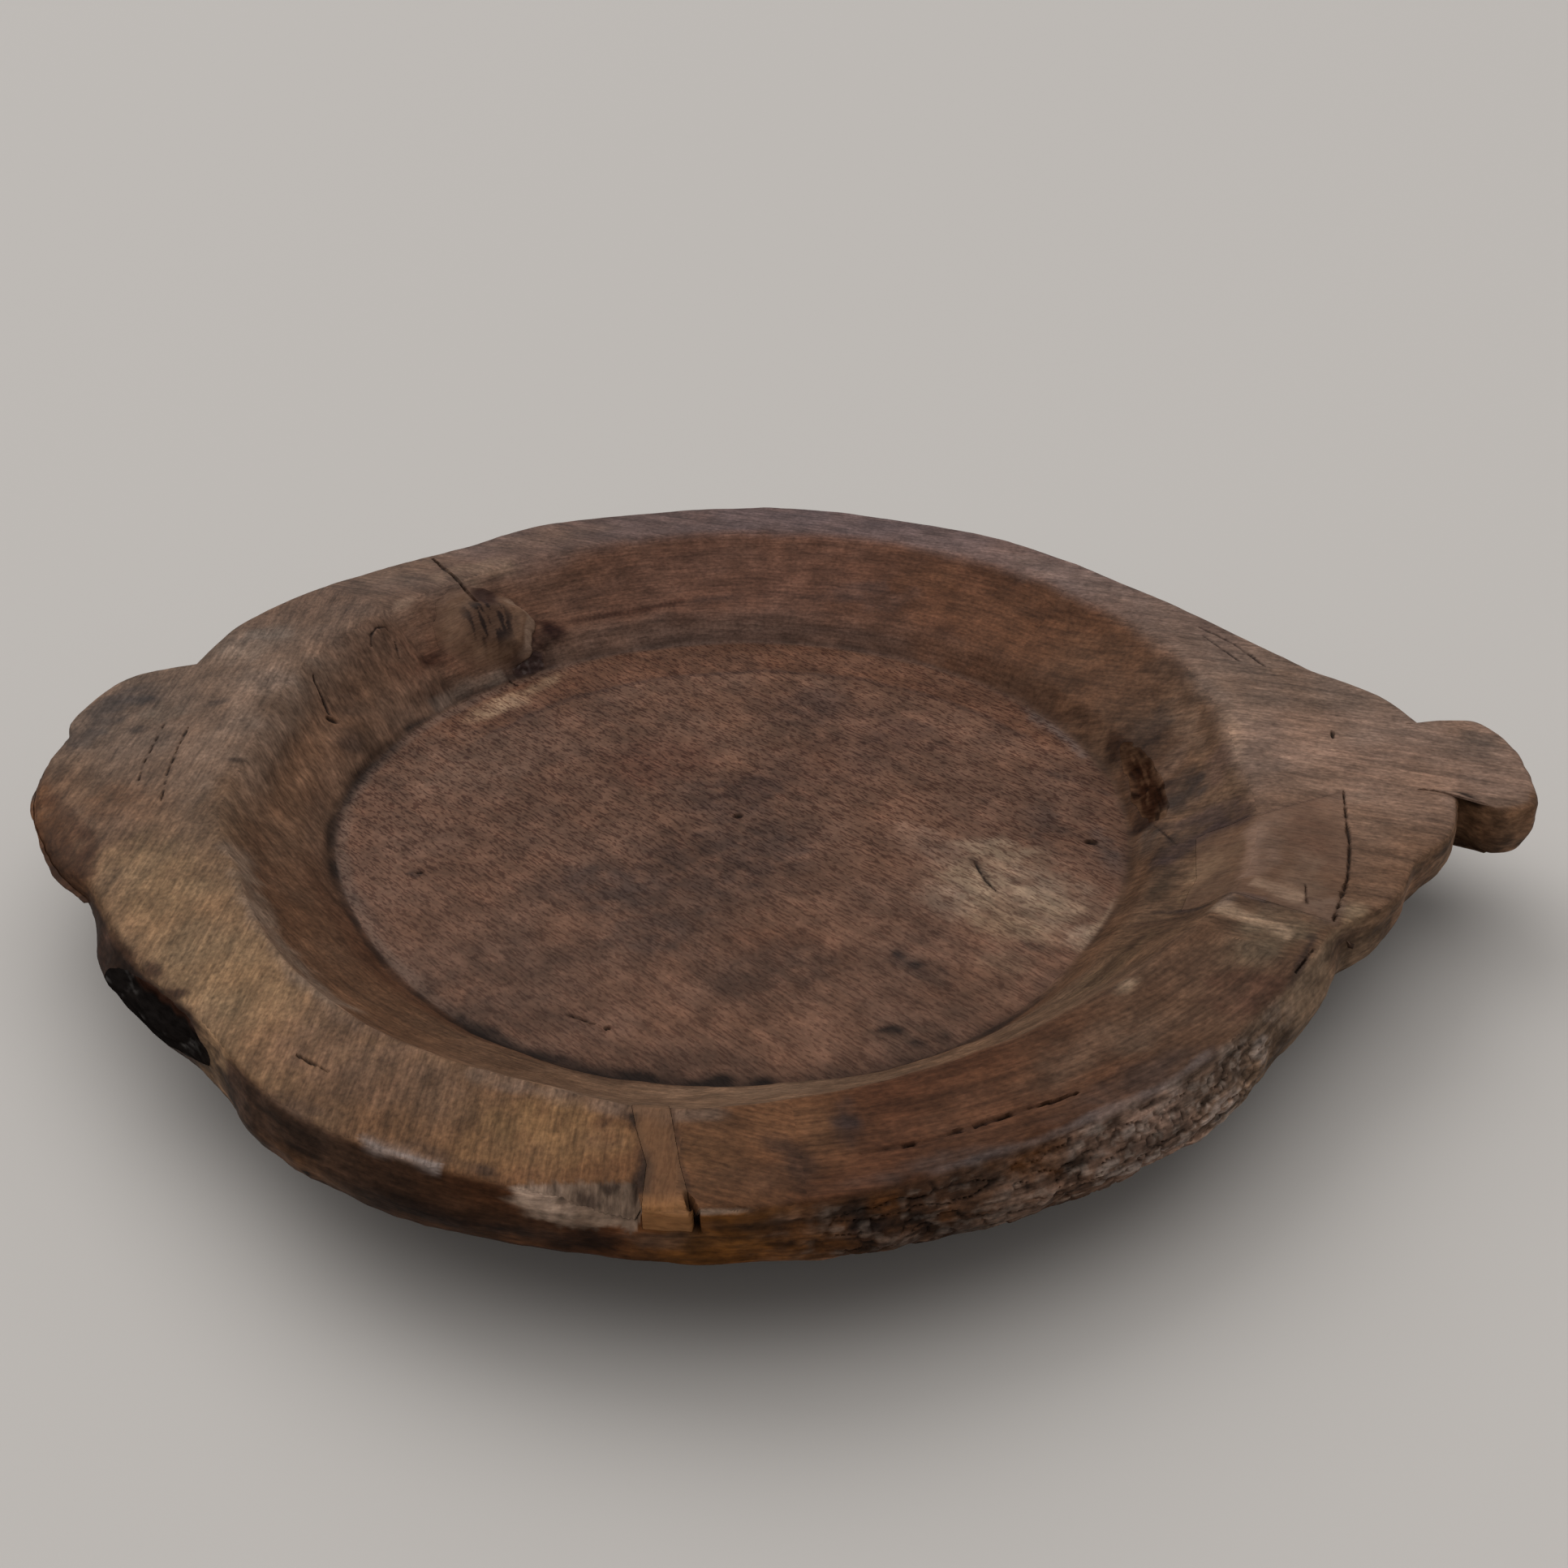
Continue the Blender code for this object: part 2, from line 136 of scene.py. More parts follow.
# Fineness of the grid and of the faces after refining
MAIN_COLUMNS = 496
KNOB_COLUMNS = 80
RING_STEP = 2.4
PLAIN_FACE = 2.2
BARK_FACE = 1.0
SMALL_INLAY_FACE = 0.9
FINE_FACE = 0.6

# Levels that say where on the section a point is: floor 0 to 1, wall to 2, rim to 3, side to 4, under to 6
WALL_BREAK = 1.3
UNDER = 4.0
POCKET = 9.0


def colour(red, green, blue):
    """Linear colour of an ordinary 0 to 255 colour."""
    share = np.array([red, green, blue]) / 255
    return np.where(share <= 0.04045, share / 12.92, ((share + 0.055) / 1.055) ** 2.4)


def ramp(value, start, end):
    """0 at start and 1 at end, easing between them."""
    share = np.clip((value - start) / (end - start), 0, 1)
    return share * share * (3 - 2 * share)


def lattice(cell, seed):
    """A fixed random number from -1 to 1 for every whole-numbered cell."""
    x, y, z = cell.astype(np.uint32).T
    mixed = x * np.uint32(0x8DA6B343) + y * np.uint32(0xD8163841) + z * np.uint32(0xCB1AB31F)
    mixed = mixed + np.uint32((seed * 0x9E3779B1) & 0xFFFFFFFF)
    mixed = (mixed ^ (mixed >> np.uint32(13))) * np.uint32(0x5BD1E995)
    mixed = (mixed ^ (mixed >> np.uint32(15))) * np.uint32(0x27D4EB2F)
    mixed = mixed ^ (mixed >> np.uint32(14))
    return mixed / 2.0**31 - 1


def noise(points, size, seed):
    """Smooth noise from -1 to 1 whose lumps are about as wide as size, one number or one for each axis."""
    scaled = np.asarray(points) / size + 500.0
    cell = np.floor(scaled)
    share = scaled - cell
    ease = share**3 * (share * (share * 6 - 15) + 10)
    cell = cell.astype(np.int64)
    total = np.zeros(len(scaled))
    for corner in np.ndindex(2, 2, 2):
        weight = np.prod(np.where(corner, ease, 1 - ease), axis=1)
        total += weight * lattice(cell + corner, seed)
    return total


def fractal(points, size, seed, octaves=3):
    """Noise with finer noise on top of it."""
    total = 0.0
    for octave in range(octaves):
        total = total + noise(points, np.asarray(size) / 2**octave, seed + 17 * octave) / 2**octave
    return total


def by_angle(table, angles):
    """A smooth value at each angle through the (degrees, value) places of a table, right round."""
    places = sorted(table)
    stops = np.array([place[0] for place in places], dtype=float)
    values = np.array([place[1] for place in places], dtype=float)
    stops = np.concatenate([stops[-2:] - 360, stops, stops[:3] + 360])
    values = np.concatenate([values[-2:], values, values[:3]])
    turned = (np.asarray(angles) - places[0][0]) % 360 + places[0][0]
    step = np.searchsorted(stops, turned, side="right") - 1
    step = np.clip(step, 1, len(stops) - 3)
    width = stops[step + 1] - stops[step]
    share = (turned - stops[step]) / width
    before = stops[step + 1] - stops[step - 1]
    after = stops[step + 2] - stops[step]
    if values.ndim > 1:
        width, share, before, after = (part[:, None] for part in (width, share, before, after))
    first = (values[step + 1] - values[step - 1]) / before * width
    second = (values[step + 2] - values[step]) / after * width
    change = values[step + 1] - values[step]
    return (
        values[step] + first * share + (3 * change - 2 * first - second) * share**2
        + (first + second - 2 * change) * share**3
    )


def polar(angles, radii, heights):
    """Points at these angles, radii and heights."""
    turned = np.radians(angles)
    flat = np.zeros_like(turned)
    return np.stack([radii * np.cos(turned), radii * np.sin(turned), heights + flat], axis=1)


def smooth_run(places, steps=24):
    """A smooth line in plan through (degrees, radius) places."""
    marks = np.array(places, dtype=float)
    points = polar(marks[:, 0], marks[:, 1], 0.0)[:, :2]
    ends = np.concatenate([[2 * points[0] - points[1]], points, [2 * points[-1] - points[-2]]])
    share = np.linspace(0, 1, steps, endpoint=False)[:, None]
    line = []
    for before, here, there, after in zip(ends, ends[1:], ends[2:], ends[3:]):
        first = (there - before) / 2
        second = (after - here) / 2
        change = there - here
        line.append(
            here + first * share + (3 * change - 2 * first - second) * share**2
            + (first + second - 2 * change) * share**3
        )
    return np.concatenate(line + [points[-1:]])


def unit(vectors):
    return vectors / np.linalg.norm(vectors, axis=-1, keepdims=True)


# The grid of the bowl's skin


class Columns:
    """The columns of the grid: their angles and, in plan, the rim's edges and the knob's neck."""

    def __init__(self):
        main = np.linspace(BACK_NOTCH[0], FRONT_NOTCH[0], MAIN_COLUMNS)
        round_knob = np.linspace(FRONT_NOTCH[0], BACK_NOTCH[0] + 360, KNOB_COLUMNS + 2)[1:-1]
        self.angles = np.concatenate([main, round_knob])
        edge = np.concatenate([smooth_run(run) for run in OUTLINE_RUNS])
        edge_angles = np.degrees(np.arctan2(edge[:, 1], edge[:, 0])) % 360
        radii = np.interp(main, edge_angles, np.hypot(edge[:, 0], edge[:, 1]))
        knob = smooth_run(KNOB_EDGE)
        run = np.concatenate([[0], np.cumsum(np.linalg.norm(np.diff(knob, axis=0), axis=1))])
        places = np.linspace(0, run[-1], KNOB_COLUMNS + 2)[1:-1]
        knob = np.stack([np.interp(places, run, knob[:, axis]) for axis in (0, 1)], axis=1)
        self.edge = np.concatenate([polar(main, radii, 0.0)[:, :2], knob])
        self.inner = polar(self.angles, by_angle(INNER_EDGE, self.angles), 0.0)[:, :2]
        span = self.inner - self.edge
        self.neck = self.edge + unit(span) * NECK_INSET
        share = np.linspace(0, 1, KNOB_COLUMNS + 2)[1:-1, None]
        first, last = self.neck[MAIN_COLUMNS - 1], self.neck[0]
        self.neck[MAIN_COLUMNS:] = first + (last - first) * share
        along = np.roll(self.edge, -1, axis=0) - np.roll(self.edge, 1, axis=0)
        self.outward = unit(np.stack([along[:, 1], -along[:, 0]], axis=1))
        self.on_knob = np.arange(len(self.angles)) >= MAIN_COLUMNS


def at_height(plan, height):
    return np.concatenate([plan, np.zeros((len(plan), 1)) + np.reshape(height, (-1, 1))], axis=1)


def bend(before, corner, after, reach, steps):
    """Rows that round off a corner of the section, going no further than most of the way to the next one."""
    reach = np.reshape(reach, (-1, 1))
    room = 0.75 * np.linalg.norm(after - corner, axis=1, keepdims=True)
    start = corner + unit(before - corner) * reach
    end = corner + unit(after - corner) * np.minimum(reach, room)
    return [start * (1 - t) ** 2 + corner * 2 * t * (1 - t) + end * t**2 for t in np.linspace(0, 1, steps)]


def swelling(angles):
    """How far the side stands out below the rim's edge."""
    total = np.zeros_like(angles)
    for centre, spread, reach in SIDE_SWELLINGS:
        turn = np.abs((angles - centre + 180) % 360 - 180)
        total += reach * (0.5 + 0.5 * np.cos(np.pi * np.minimum(1, turn / spread)))
    return total


def under_rows(columns, foot, steps=18):
    """Rows from the foot of the side, under the knob's neck or straight in, down to the base."""
    turn_in = np.where(columns.on_knob[:, None], columns.neck, foot[:, :2])
    base = polar(columns.angles, BASE_RADIUS, 0.0)[:, :2]
    flat = np.linalg.norm(turn_in - foot[:, :2], axis=1)
    slope = np.linalg.norm(base - turn_in, axis=1)
    rows = []
    for step in range(1, steps + 1):
        sweep = math.pi / 2 * (1 - step / steps)
        way = (flat + slope) * (1 - math.sin(sweep) ** UNDERSIDE_POWER)
        past = np.clip((way - flat) / slope, 0, 1)
        drop = np.sqrt(np.clip(1 - (1 - past) ** (2 / UNDERSIDE_POWER), 0, 1)) ** UNDERSIDE_POWER
        near = foot[:, :2] + (turn_in - foot[:, :2]) * np.clip(way / np.maximum(flat, 1e-6), 0, 1)[:, None]
        plan = np.where((way < flat)[:, None], near, turn_in + (base - turn_in) * past[:, None])
        rows.append(at_height(plan, foot[:, 2] * (1 - drop)))
    return rows


def section_rows(columns):
    """All rows of the grid from the floor's edge round to the base, with the level of each row."""
    angles = columns.angles
    edge_radii = by_angle(FLOOR_EDGE, angles)
    floor = polar(angles, edge_radii - COVE_REACH - 1, FLOOR_Z)
    floor_edge = polar(angles, edge_radii, FLOOR_Z)
    lower_run = by_angle(LOWER_WALL_RUNS, angles)
    wall_break = polar(angles, edge_radii + lower_run, FLOOR_Z + LOWER_WALL_RISE)
    inner = at_height(columns.inner, RIM_Z)
    neck = at_height(columns.neck, RIM_Z)
    edge = at_height(columns.edge, RIM_Z)
    height = by_angle(SIDE_HEIGHTS, angles)
    swell = np.where(columns.on_knob, 0, swelling(angles))[:, None] * columns.outward
    bulge = at_height(columns.edge + swell, RIM_Z - height * SWELLING_DROP / 19)
    drawn_in = by_angle(FOOT_INSETS, angles)[:, None] * columns.outward
    foot = at_height(columns.edge + swell * SWELLING_FOOT_SHARE - drawn_in, RIM_Z - height)
    bends = [
        (bend(floor, floor_edge, wall_break, COVE_REACH, 5), 1.0, 1.06, 3),
        (bend(floor_edge, wall_break, inner, 2.5, 4), 1.27, 1.33, 13),
        (bend(wall_break, inner, neck, by_angle(INNER_ROUND, angles), 9), 1.9, 2.1, 12),
        ([neck], 2.8, 2.8, 1),
        (bend(neck, edge, bulge, by_angle(OUTER_ROUND, angles), 6), 2.93, 3.07, 4),
        (bend(edge, bulge, foot, 3.0, 4), 3.45, 3.55, 3),
        ([foot], 3.95, 3.95, 0),
    ]
    rows, levels = [], []
    for (made, start, end, fill), following in zip(bends, bends[1:] + [None]):
        rows += made
        levels += list(np.linspace(start, end, len(made)))
        for step in range(1, fill + 1):
            share = step / (fill + 1)
            rows.append(made[-1] + (following[0][0] - made[-1]) * share)
            levels.append(end + (following[1] - end) * share)
    under = under_rows(columns, foot)
    rows += under
    levels += list(np.linspace(4.0, 5.0, len(under)))
    return rows, levels


def disc(angles, first_ids, radii, height, levels, next_id, upward):
    """Rings of points that close the floor or the base, halving their number where they crowd."""
    points, marks, faces = [], [], []
    ring_ids, ring_angles = first_ids, angles
    for radius, level in zip(radii, levels):
        halve = 2 * math.pi * radius / len(ring_ids) < RING_STEP * 0.6 and len(ring_ids) % 2 == 0
        inner_angles = ring_angles[::2] if halve else ring_angles
        ids = next_id + np.arange(len(inner_angles))
        next_id += len(ids)
        points.append(polar(inner_angles, radius, height))
        marks.append(np.full(len(ids), level))
        outer_next, inner_next = np.roll(ring_ids, -1), np.roll(ids, -1)
        if halve:
            middle = ring_ids[1::2]
            faces.append(np.stack([ids, ring_ids[::2], middle], axis=1))
            faces.append(np.stack([ids, middle, inner_next], axis=1))
            faces.append(np.stack([inner_next, middle, np.roll(ring_ids[::2], -1)], axis=1))
        else:
            faces.append(np.stack([ids, ring_ids, outer_next], axis=1))
            faces.append(np.stack([ids, outer_next, inner_next], axis=1))
        ring_ids, ring_angles = ids, inner_angles
    points.append(np.array([[0.0, 0.0, height]]))
    marks.append(np.array([levels[-1]]))
    centre = np.full(len(ring_ids), next_id)
    faces.append(np.stack([centre, ring_ids, np.roll(ring_ids, -1)], axis=1))
    faces = np.concatenate(faces)
    return np.concatenate(points), np.concatenate(marks), faces if upward else faces[:, ::-1]


class Skin:
    """A triangle mesh whose points carry a place, a level on the section and the plain surface's normal."""

    def __init__(self, data, triangles):
        self.data = data
        self.triangles = triangles

    @property
    def points(self):
        return self.data[:, 0:3]

    @property
    def levels(self):
        return self.data[:, 3]

    @property
    def normals(self):
        return self.data[:, 4:7]

    @property
    def angles(self):
        return np.degrees(np.arctan2(self.data[:, 1], self.data[:, 0]))


def face_normals(points, triangles):
    a, b, c = (points[triangles[:, corner]] for corner in range(3))
    return np.cross(b - a, c - a)


def point_normals(points, triangles):
    """Normals at the points, from the faces round them."""
    across = face_normals(points, triangles)
    total = np.zeros_like(points)
    for axis in range(3):
        for corner in range(3):
            total[:, axis] += np.bincount(triangles[:, corner], across[:, axis], len(points))
    return total / np.maximum(np.linalg.norm(total, axis=1, keepdims=True), 1e-12)


def bowl_grid():
    """The plain bowl as one closed skin."""
    columns = Columns()
    rows, levels = section_rows(columns)
    count = len(columns.angles)
    points = [np.concatenate(rows)]
    marks = [np.repeat(levels, count)]
    ids = np.arange(len(rows) * count).reshape(len(rows), count)
    here, across = ids[:-1], np.roll(ids[:-1], -1, axis=1)
    out, out_across = ids[1:], np.roll(ids[1:], -1, axis=1)
    faces = [
        np.stack([here, out, out_across], axis=-1).reshape(-1, 3),
        np.stack([here, out_across, across], axis=-1).reshape(-1, 3),
    ]
    radii = np.arange(FLOOR_RADIUS - COVE_REACH - 1 - RING_STEP, 1, -RING_STEP)
    made = disc(columns.angles, ids[0], radii, FLOOR_Z, radii / FLOOR_RADIUS, ids.size, True)
    points.append(made[0])
    marks.append(made[1])
    faces.append(made[2])
    base_radii = np.array([146.0, 138.0, 124.0, 100.0, 60.0])
    next_id = ids.size + len(made[0])
    made = disc(columns.angles, ids[-1], base_radii, 0.0, 6 - base_radii / 150, next_id, False)
    points.append(made[0])
    marks.append(made[1])
    faces.append(made[2])
    places, triangles = np.concatenate(points), np.concatenate(faces)
    data = np.concatenate([places, np.concatenate(marks)[:, None], np.zeros_like(places)], axis=1)
    return Skin(data, triangles)


# Making the skin finer and cutting it


def edges_of(triangles, count):
    """The edges as pairs of points, and the three edges of every triangle."""
    pairs = np.concatenate([triangles[:, [0, 1]], triangles[:, [1, 2]], triangles[:, [2, 0]]])
    pairs = np.sort(pairs, axis=1).astype(np.int64)
    keys, found = np.unique(pairs[:, 0] * count + pairs[:, 1], return_inverse=True)
    return np.stack([keys // count, keys % count], axis=1), found.reshape(3, -1).T


def turned_to(rows, first):
    """Every row of three turned round so that its entry number first comes first."""
    order = (np.arange(3) + first[:, None]) % 3
    return np.take_along_axis(rows, order, axis=1)


def split(skin, edges, sides, chosen, share):
    """The skin with a new point on every chosen edge and its faces divided there."""
    a, b = edges[chosen].T
    fresh = skin.data[a] * (1 - share[:, None]) + skin.data[b] * share[:, None]
    middle = np.full(len(edges), -1)
    middle[chosen] = len(skin.data) + np.arange(len(fresh))
    middles = middle[sides]
    counts = (middles >= 0).sum(axis=1)
    triangles = [skin.triangles[counts == 0]]
    one = counts == 1
    first = np.argmax(middles[one] >= 0, axis=1)
    corner, mid = turned_to(skin.triangles[one], first).T, turned_to(middles[one], first).T
    triangles += [np.stack(made, axis=1) for made in (
        (corner[0], mid[0], corner[2]), (mid[0], corner[1], corner[2]),
    )]
    two = counts == 2
    first = (np.argmin(middles[two] >= 0, axis=1) + 1) % 3
    corner, mid = turned_to(skin.triangles[two], first).T, turned_to(middles[two], first).T
    triangles += [np.stack(made, axis=1) for made in (
        (mid[0], corner[1], mid[1]), (corner[0], mid[0], mid[1]), (corner[0], mid[1], corner[2]),
    )]
    three = counts == 3
    corner, mid = skin.triangles[three].T, middles[three].T
    triangles += [np.stack(made, axis=1) for made in (
        (corner[0], mid[0], mid[2]), (mid[0], corner[1], mid[1]), (mid[2], mid[1], corner[2]), tuple(mid),
    )]
    return Skin(np.concatenate([skin.data, fresh]), np.concatenate(triangles))


def refine(skin, passes=4):
    """Splits edges until none is much longer than the face size wanted where it lies."""
    for _ in range(passes):
        edges, sides = edges_of(skin.triangles, len(skin.data))
        a, b = skin.data[edges[:, 0]], skin.data[edges[:, 1]]
        length = np.linalg.norm(a[:, :3] - b[:, :3], axis=1)
        long = length > 1.35 * FINE_FACE
        long[long] = length[long] > 1.35 * face_size((a[long] + b[long]) / 2)
        if not long.any():
            break
        skin = split(skin, edges, sides, long, np.full(int(long.sum()), 0.5))
    return skin


def cut_along(skin, distance):
    """The skin cut where distance passes through zero, and which of its faces lie inside."""
    edges, sides = edges_of(skin.triangles, len(skin.data))
    distance = np.where(np.abs(distance) < 0.06, 0.06, distance)
    first, second = distance[edges[:, 0]], distance[edges[:, 1]]
    crossing = (first < 0) != (second < 0)
    share = first[crossing] / (first[crossing] - second[crossing])
    cut = split(skin, edges, sides, crossing, share)
    full = np.concatenate([distance, np.zeros(int(crossing.sum()))])
    return cut, full[cut.triangles].sum(axis=1) < 0


def in_reach(points, line, reach):
    """Which points lie within reach of the box round a line in plan."""
    low, high = np.min(line, axis=0) - reach, np.max(line, axis=0) + reach
    return np.all((points[:, :2] > low) & (points[:, :2] < high), axis=1)


def line_place(points, line):
    """Distance in plan from a line through places, and the share of the line's length gone by there."""
    places = np.array(line, dtype=float)
    here = points[:, :2]
    lengths = np.linalg.norm(np.diff(places, axis=0), axis=1)
    starts = np.concatenate([[0], np.cumsum(lengths)])
    nearest = np.full(len(points), 1e9)
    along = np.zeros(len(points))
    for start, end, before, length in zip(places, places[1:], starts, lengths):
        step = end - start
        share = np.clip(((here - start) @ step) / (step @ step), 0, 1)
        distance = np.linalg.norm(here - start - share[:, None] * step, axis=1)
        closer = distance < nearest
        nearest[closer] = distance[closer]
        along[closer] = (before + share[closer] * length) / starts[-1]
    return nearest, along


def outline_distance(points, corners):
    """Distance in plan from a closed outline, negative inside it."""
    x, y = points[:, 0], points[:, 1]
    inside = np.zeros(len(points), dtype=bool)
    for (ax, ay), (bx, by) in zip(corners, corners[1:] + corners[:1]):
        if ay != by:
            passes = (ay > y) != (by > y)
            inside ^= passes & (x < (bx - ax) * (y - ay) / (by - ay) + ax)
    distance = line_place(points, corners + corners[:1])[0]
    return np.where(inside, -distance, distance)


# Outlines of the let-in pieces
FRONT_PATCH = [
    (-21.8, -199.0), (-21.6, -204.4), (-19.9, -213.0), (-16.3, -226.4), (-16.6, -238.2), (-17.0, -256.0),
    (-1.5, -256.0), (-4.9, -238.1), (-7.6, -226.5), (-11.8, -201.7), (-12.2, -196.5),
]
FRONT_PATCH_BOTTOM = 50.5
RIGHT_PATCH = [
    (163.0, -50.0), (167.4, -50.1), (173.1, -53.8), (182.1, -59.9), (214.2, -45.7), (208.2, -71.0),
    (206.5, -79.6), (199.7, -100.1), (188.3, -123.7), (158.2, -104.1), (147.5, -96.9), (157.0, -76.0),
]
RIGHT_PATCH_BOTTOM = 41.5
KNOT_PLACE = (130.8, 171.0, 40.5)
KNOT_HALF_SIZES = (22.5, 22.0)
REAR_PITCH_PLACE = (127.4, 152.0, 26.5)
REAR_PITCH_HALF_SIZES = (9.0, 6.0)
RIGHT_PITCH_PLACE = (0.8, 156.5, 31.2)
RIGHT_PITCH_HALF_SIZES = (29.0, 6.6)
LEFT_PITCH_PLACE = (-137.7, 225.0, 48.2)
LEFT_PITCH_HALF_SIZES = (30.5, 7.5)


def wall_axes(angle, slope):
    """Directions round the bowl, up a wall that leans out by slope from upright, and out of the wood."""
    turned, lean = math.radians(angle), math.radians(slope)
    outward = np.array([math.cos(turned), math.sin(turned), 0.0])
    around = np.array([-math.sin(turned), math.cos(turned), 0.0])
    up = outward * math.sin(lean) + np.array([0.0, 0.0, math.cos(lean)])
    return around, up, np.cross(up, around)


def oval_distance(points, place, half_sizes, slope, seed, ragged):
    """Distance from an oval outline on a wall, negative inside it."""
    around, up, out = wall_axes(place[0], slope)
    centre = polar(np.array([place[0]]), place[1], place[2])[0]
    local = points - centre
    share = np.hypot(local @ around / half_sizes[0], local @ up / half_sizes[1])
    share[np.abs(local @ out) > 16] = 9.0
    near = share < 2
    share[near] += ragged * fractal(points[near], 7.0, seed, 2)
    return (share - 1) * min(half_sizes)


def front_patch_distance(skin):
    distance = outline_distance(skin.points, FRONT_PATCH)
    return np.maximum(distance, FRONT_PATCH_BOTTOM - skin.points[:, 2])


def right_patch_distance(skin):
    distance = outline_distance(skin.points, RIGHT_PATCH)
    return np.maximum(distance, RIGHT_PATCH_BOTTOM - skin.points[:, 2])


def knot_distance(skin):
    return oval_distance(skin.points, KNOT_PLACE, KNOT_HALF_SIZES, 42, 3, 0.06)


def rear_pitch_distance(skin):
    return oval_distance(skin.points, REAR_PITCH_PLACE, REAR_PITCH_HALF_SIZES, 35, 4, 0.35)


def right_pitch_distance(skin):
    return oval_distance(skin.points, RIGHT_PITCH_PLACE, RIGHT_PITCH_HALF_SIZES, 35, 5, 0.16)


def left_pitch_distance(skin):
    return oval_distance(skin.points, LEFT_PITCH_PLACE, LEFT_PITCH_HALF_SIZES, 0, 6, 0.05)


INLAY_DISTANCES = [
    front_patch_distance, right_patch_distance, knot_distance, rear_pitch_distance, right_pitch_distance,
    left_pitch_distance,
]

# Cracks, as (places in plan, half width, depth, how broken up it is)
CRACKS = [
    ([(214.2, -45.7), (208.2, -71.0), (206.5, -79.6), (199.7, -100.1), (188.3, -123.7)], 0.8, 1.2, 0.7),
    ([(178.8, -137.4), (170.3, -148.9)], 0.8, 0.9, 0.5),
    ([(38.4, -223.8), (57.4, -218.4), (72.4, -212.2), (98.0, -200.8)], 0.9, 1.3, 0.7),
    ([(193.0, 88.0), (198.5, 80.5), (203.6, 72.2), (210.9, 49.9)], 0.95, 1.0, 0.4),
    ([(192.8, 80.1), (201.9, 55.2)], 0.7, 0.8, 0.5),
    ([(-139.0, 170.8), (-131.2, 157.5), (-124.4, 148.4), (-120.5, 144.8), (-115.2, 138.7)], 1.0, 1.6, 0.2),
    ([(-213.6, 16.8), (-211.8, -16.6), (-208.0, -36.7)], 0.55, 0.6, 0.85),
    ([(-203.7, 16.6), (-203.1, -1.7), (-200.9, -24.4), (-197.1, -42.5)], 0.55, 0.6, 0.85),
    ([(-169.5, 65.0), (-168.2, 62.0), (-163.9, 57.8), (-161.0, 52.0)], 0.8, 0.9, 0.3),
    ([(-99.4, 112.8), (-95.3, 109.0)], 0.6, 0.8, 0.0),
    ([(88.7, -34.4), (91.0, -46.0), (95.6, -56.4)], 0.8, 0.7, 0.5),
    ([(-49.7, -121.1), (-40.2, -126.2)], 0.7, 0.9, 0.2),
    ([(-116.4, -181.4), (-105.8, -188.5)], 0.7, 0.9, 0.3),
    ([(154.6, -24.0), (156.2, -36.0), (157.6, -48.0)], 0.45, 0.5, 0.3),
    ([(-152.6, 95.6), (-153.6, 100.8), (-152.2, 105.7), (-148.9, 108.3), (-146.5, 106.5)], 0.45, 0.4, 0.3),
    ([(-144.6, 104.2), (-143.3, 101.6), (-141.6, 97.0)], 0.55, 0.4, 0.3),
    ([(185.4, -103.1), (182.7, -114.8)], 0.6, 0.7, 0.2),
]

# Small holes, as (place in plan, half length, half width, degrees turned, depth)
HOLES = [
    ((133.2, -22.8), 2.8, 1.8, -15, 1.6),
    ((222.0, -5.0), 3.6, 0.8, 78, 1.4),
    ((-36.7, -127.9), 1.3, 1.1, 0, 1.4),
    ((-159.7, 50.0), 2.4, 1.4, 20, 1.2),
    ((-111.9, -37.7), 1.6, 1.0, 0, 0.8),
    ((2.7, -1.3), 2.2, 1.9, 30, 1.4),
    ((-4.0, -241.5), 6.0, 1.3, -70, 4.0),
]

# Scooped-out hollows, as (place, half sizes along the axes, depth)
SCOOPS = [
    ((-116.0, 127.0, 34.0), (7.0, 7.0, 6.0), 1.6),
    ((262.0, -49.0, 46.0), (9.0, 6.0, 9.0), 2.0),
]


# Flat chip off the outer edge of the rim at the front, as a place on it, the way it faces and its ends in x
CHIP_PLACE = (-35.0, -232.0, 57.2)
CHIP_FACING = (0.0, -0.643, 0.766)
CHIP_ENDS = (-66.0, -57.0, -19.0, -16.0)


def face_size(data):
    """The face size wanted at points with these data."""
    skin = Skin(data, None)
    points, levels = skin.points, skin.levels
    bark = bark_share(points, levels)
    size = PLAIN_FACE + (BARK_FACE - PLAIN_FACE) * bark
    size = np.where(levels > UNDER, 6.0, size)
    seen = levels < UNDER
    nearest = np.full(len(points), 99.0)
    for line, *_ in CRACKS:
        near = seen & in_reach(points, line, 5)
        nearest[near] = np.minimum(nearest[near], line_place(points[near], line)[0])
    for place, length, *_ in HOLES:
        near = np.linalg.norm(points[:, :2] - place, axis=1) - length
        nearest = np.where(seen, np.minimum(nearest, np.maximum(near, 0)), nearest)
    for distance in INLAY_DISTANCES:
        nearest = np.where(seen, np.minimum(nearest, np.abs(distance(skin))), nearest)
    for distance in (knot_distance, rear_pitch_distance, right_pitch_distance, left_pitch_distance):
        size = np.where(seen & (distance(skin) < 0), SMALL_INLAY_FACE, size)
    size = np.where(seen & (chip_depth(points) > 0), SMALL_INLAY_FACE, size)
    fine = FINE_FACE + 0.8 * np.maximum(0, nearest - 1.0)
    return np.minimum(size, fine)


# The carved surface


def wrapped(points):
    """Places measured round the bowl, outwards and up."""
    angles = np.arctan2(points[:, 1], points[:, 0]) % (2 * math.pi)
    return np.stack([angles * 220, np.hypot(points[:, 0], points[:, 1]), points[:, 2]], axis=1)


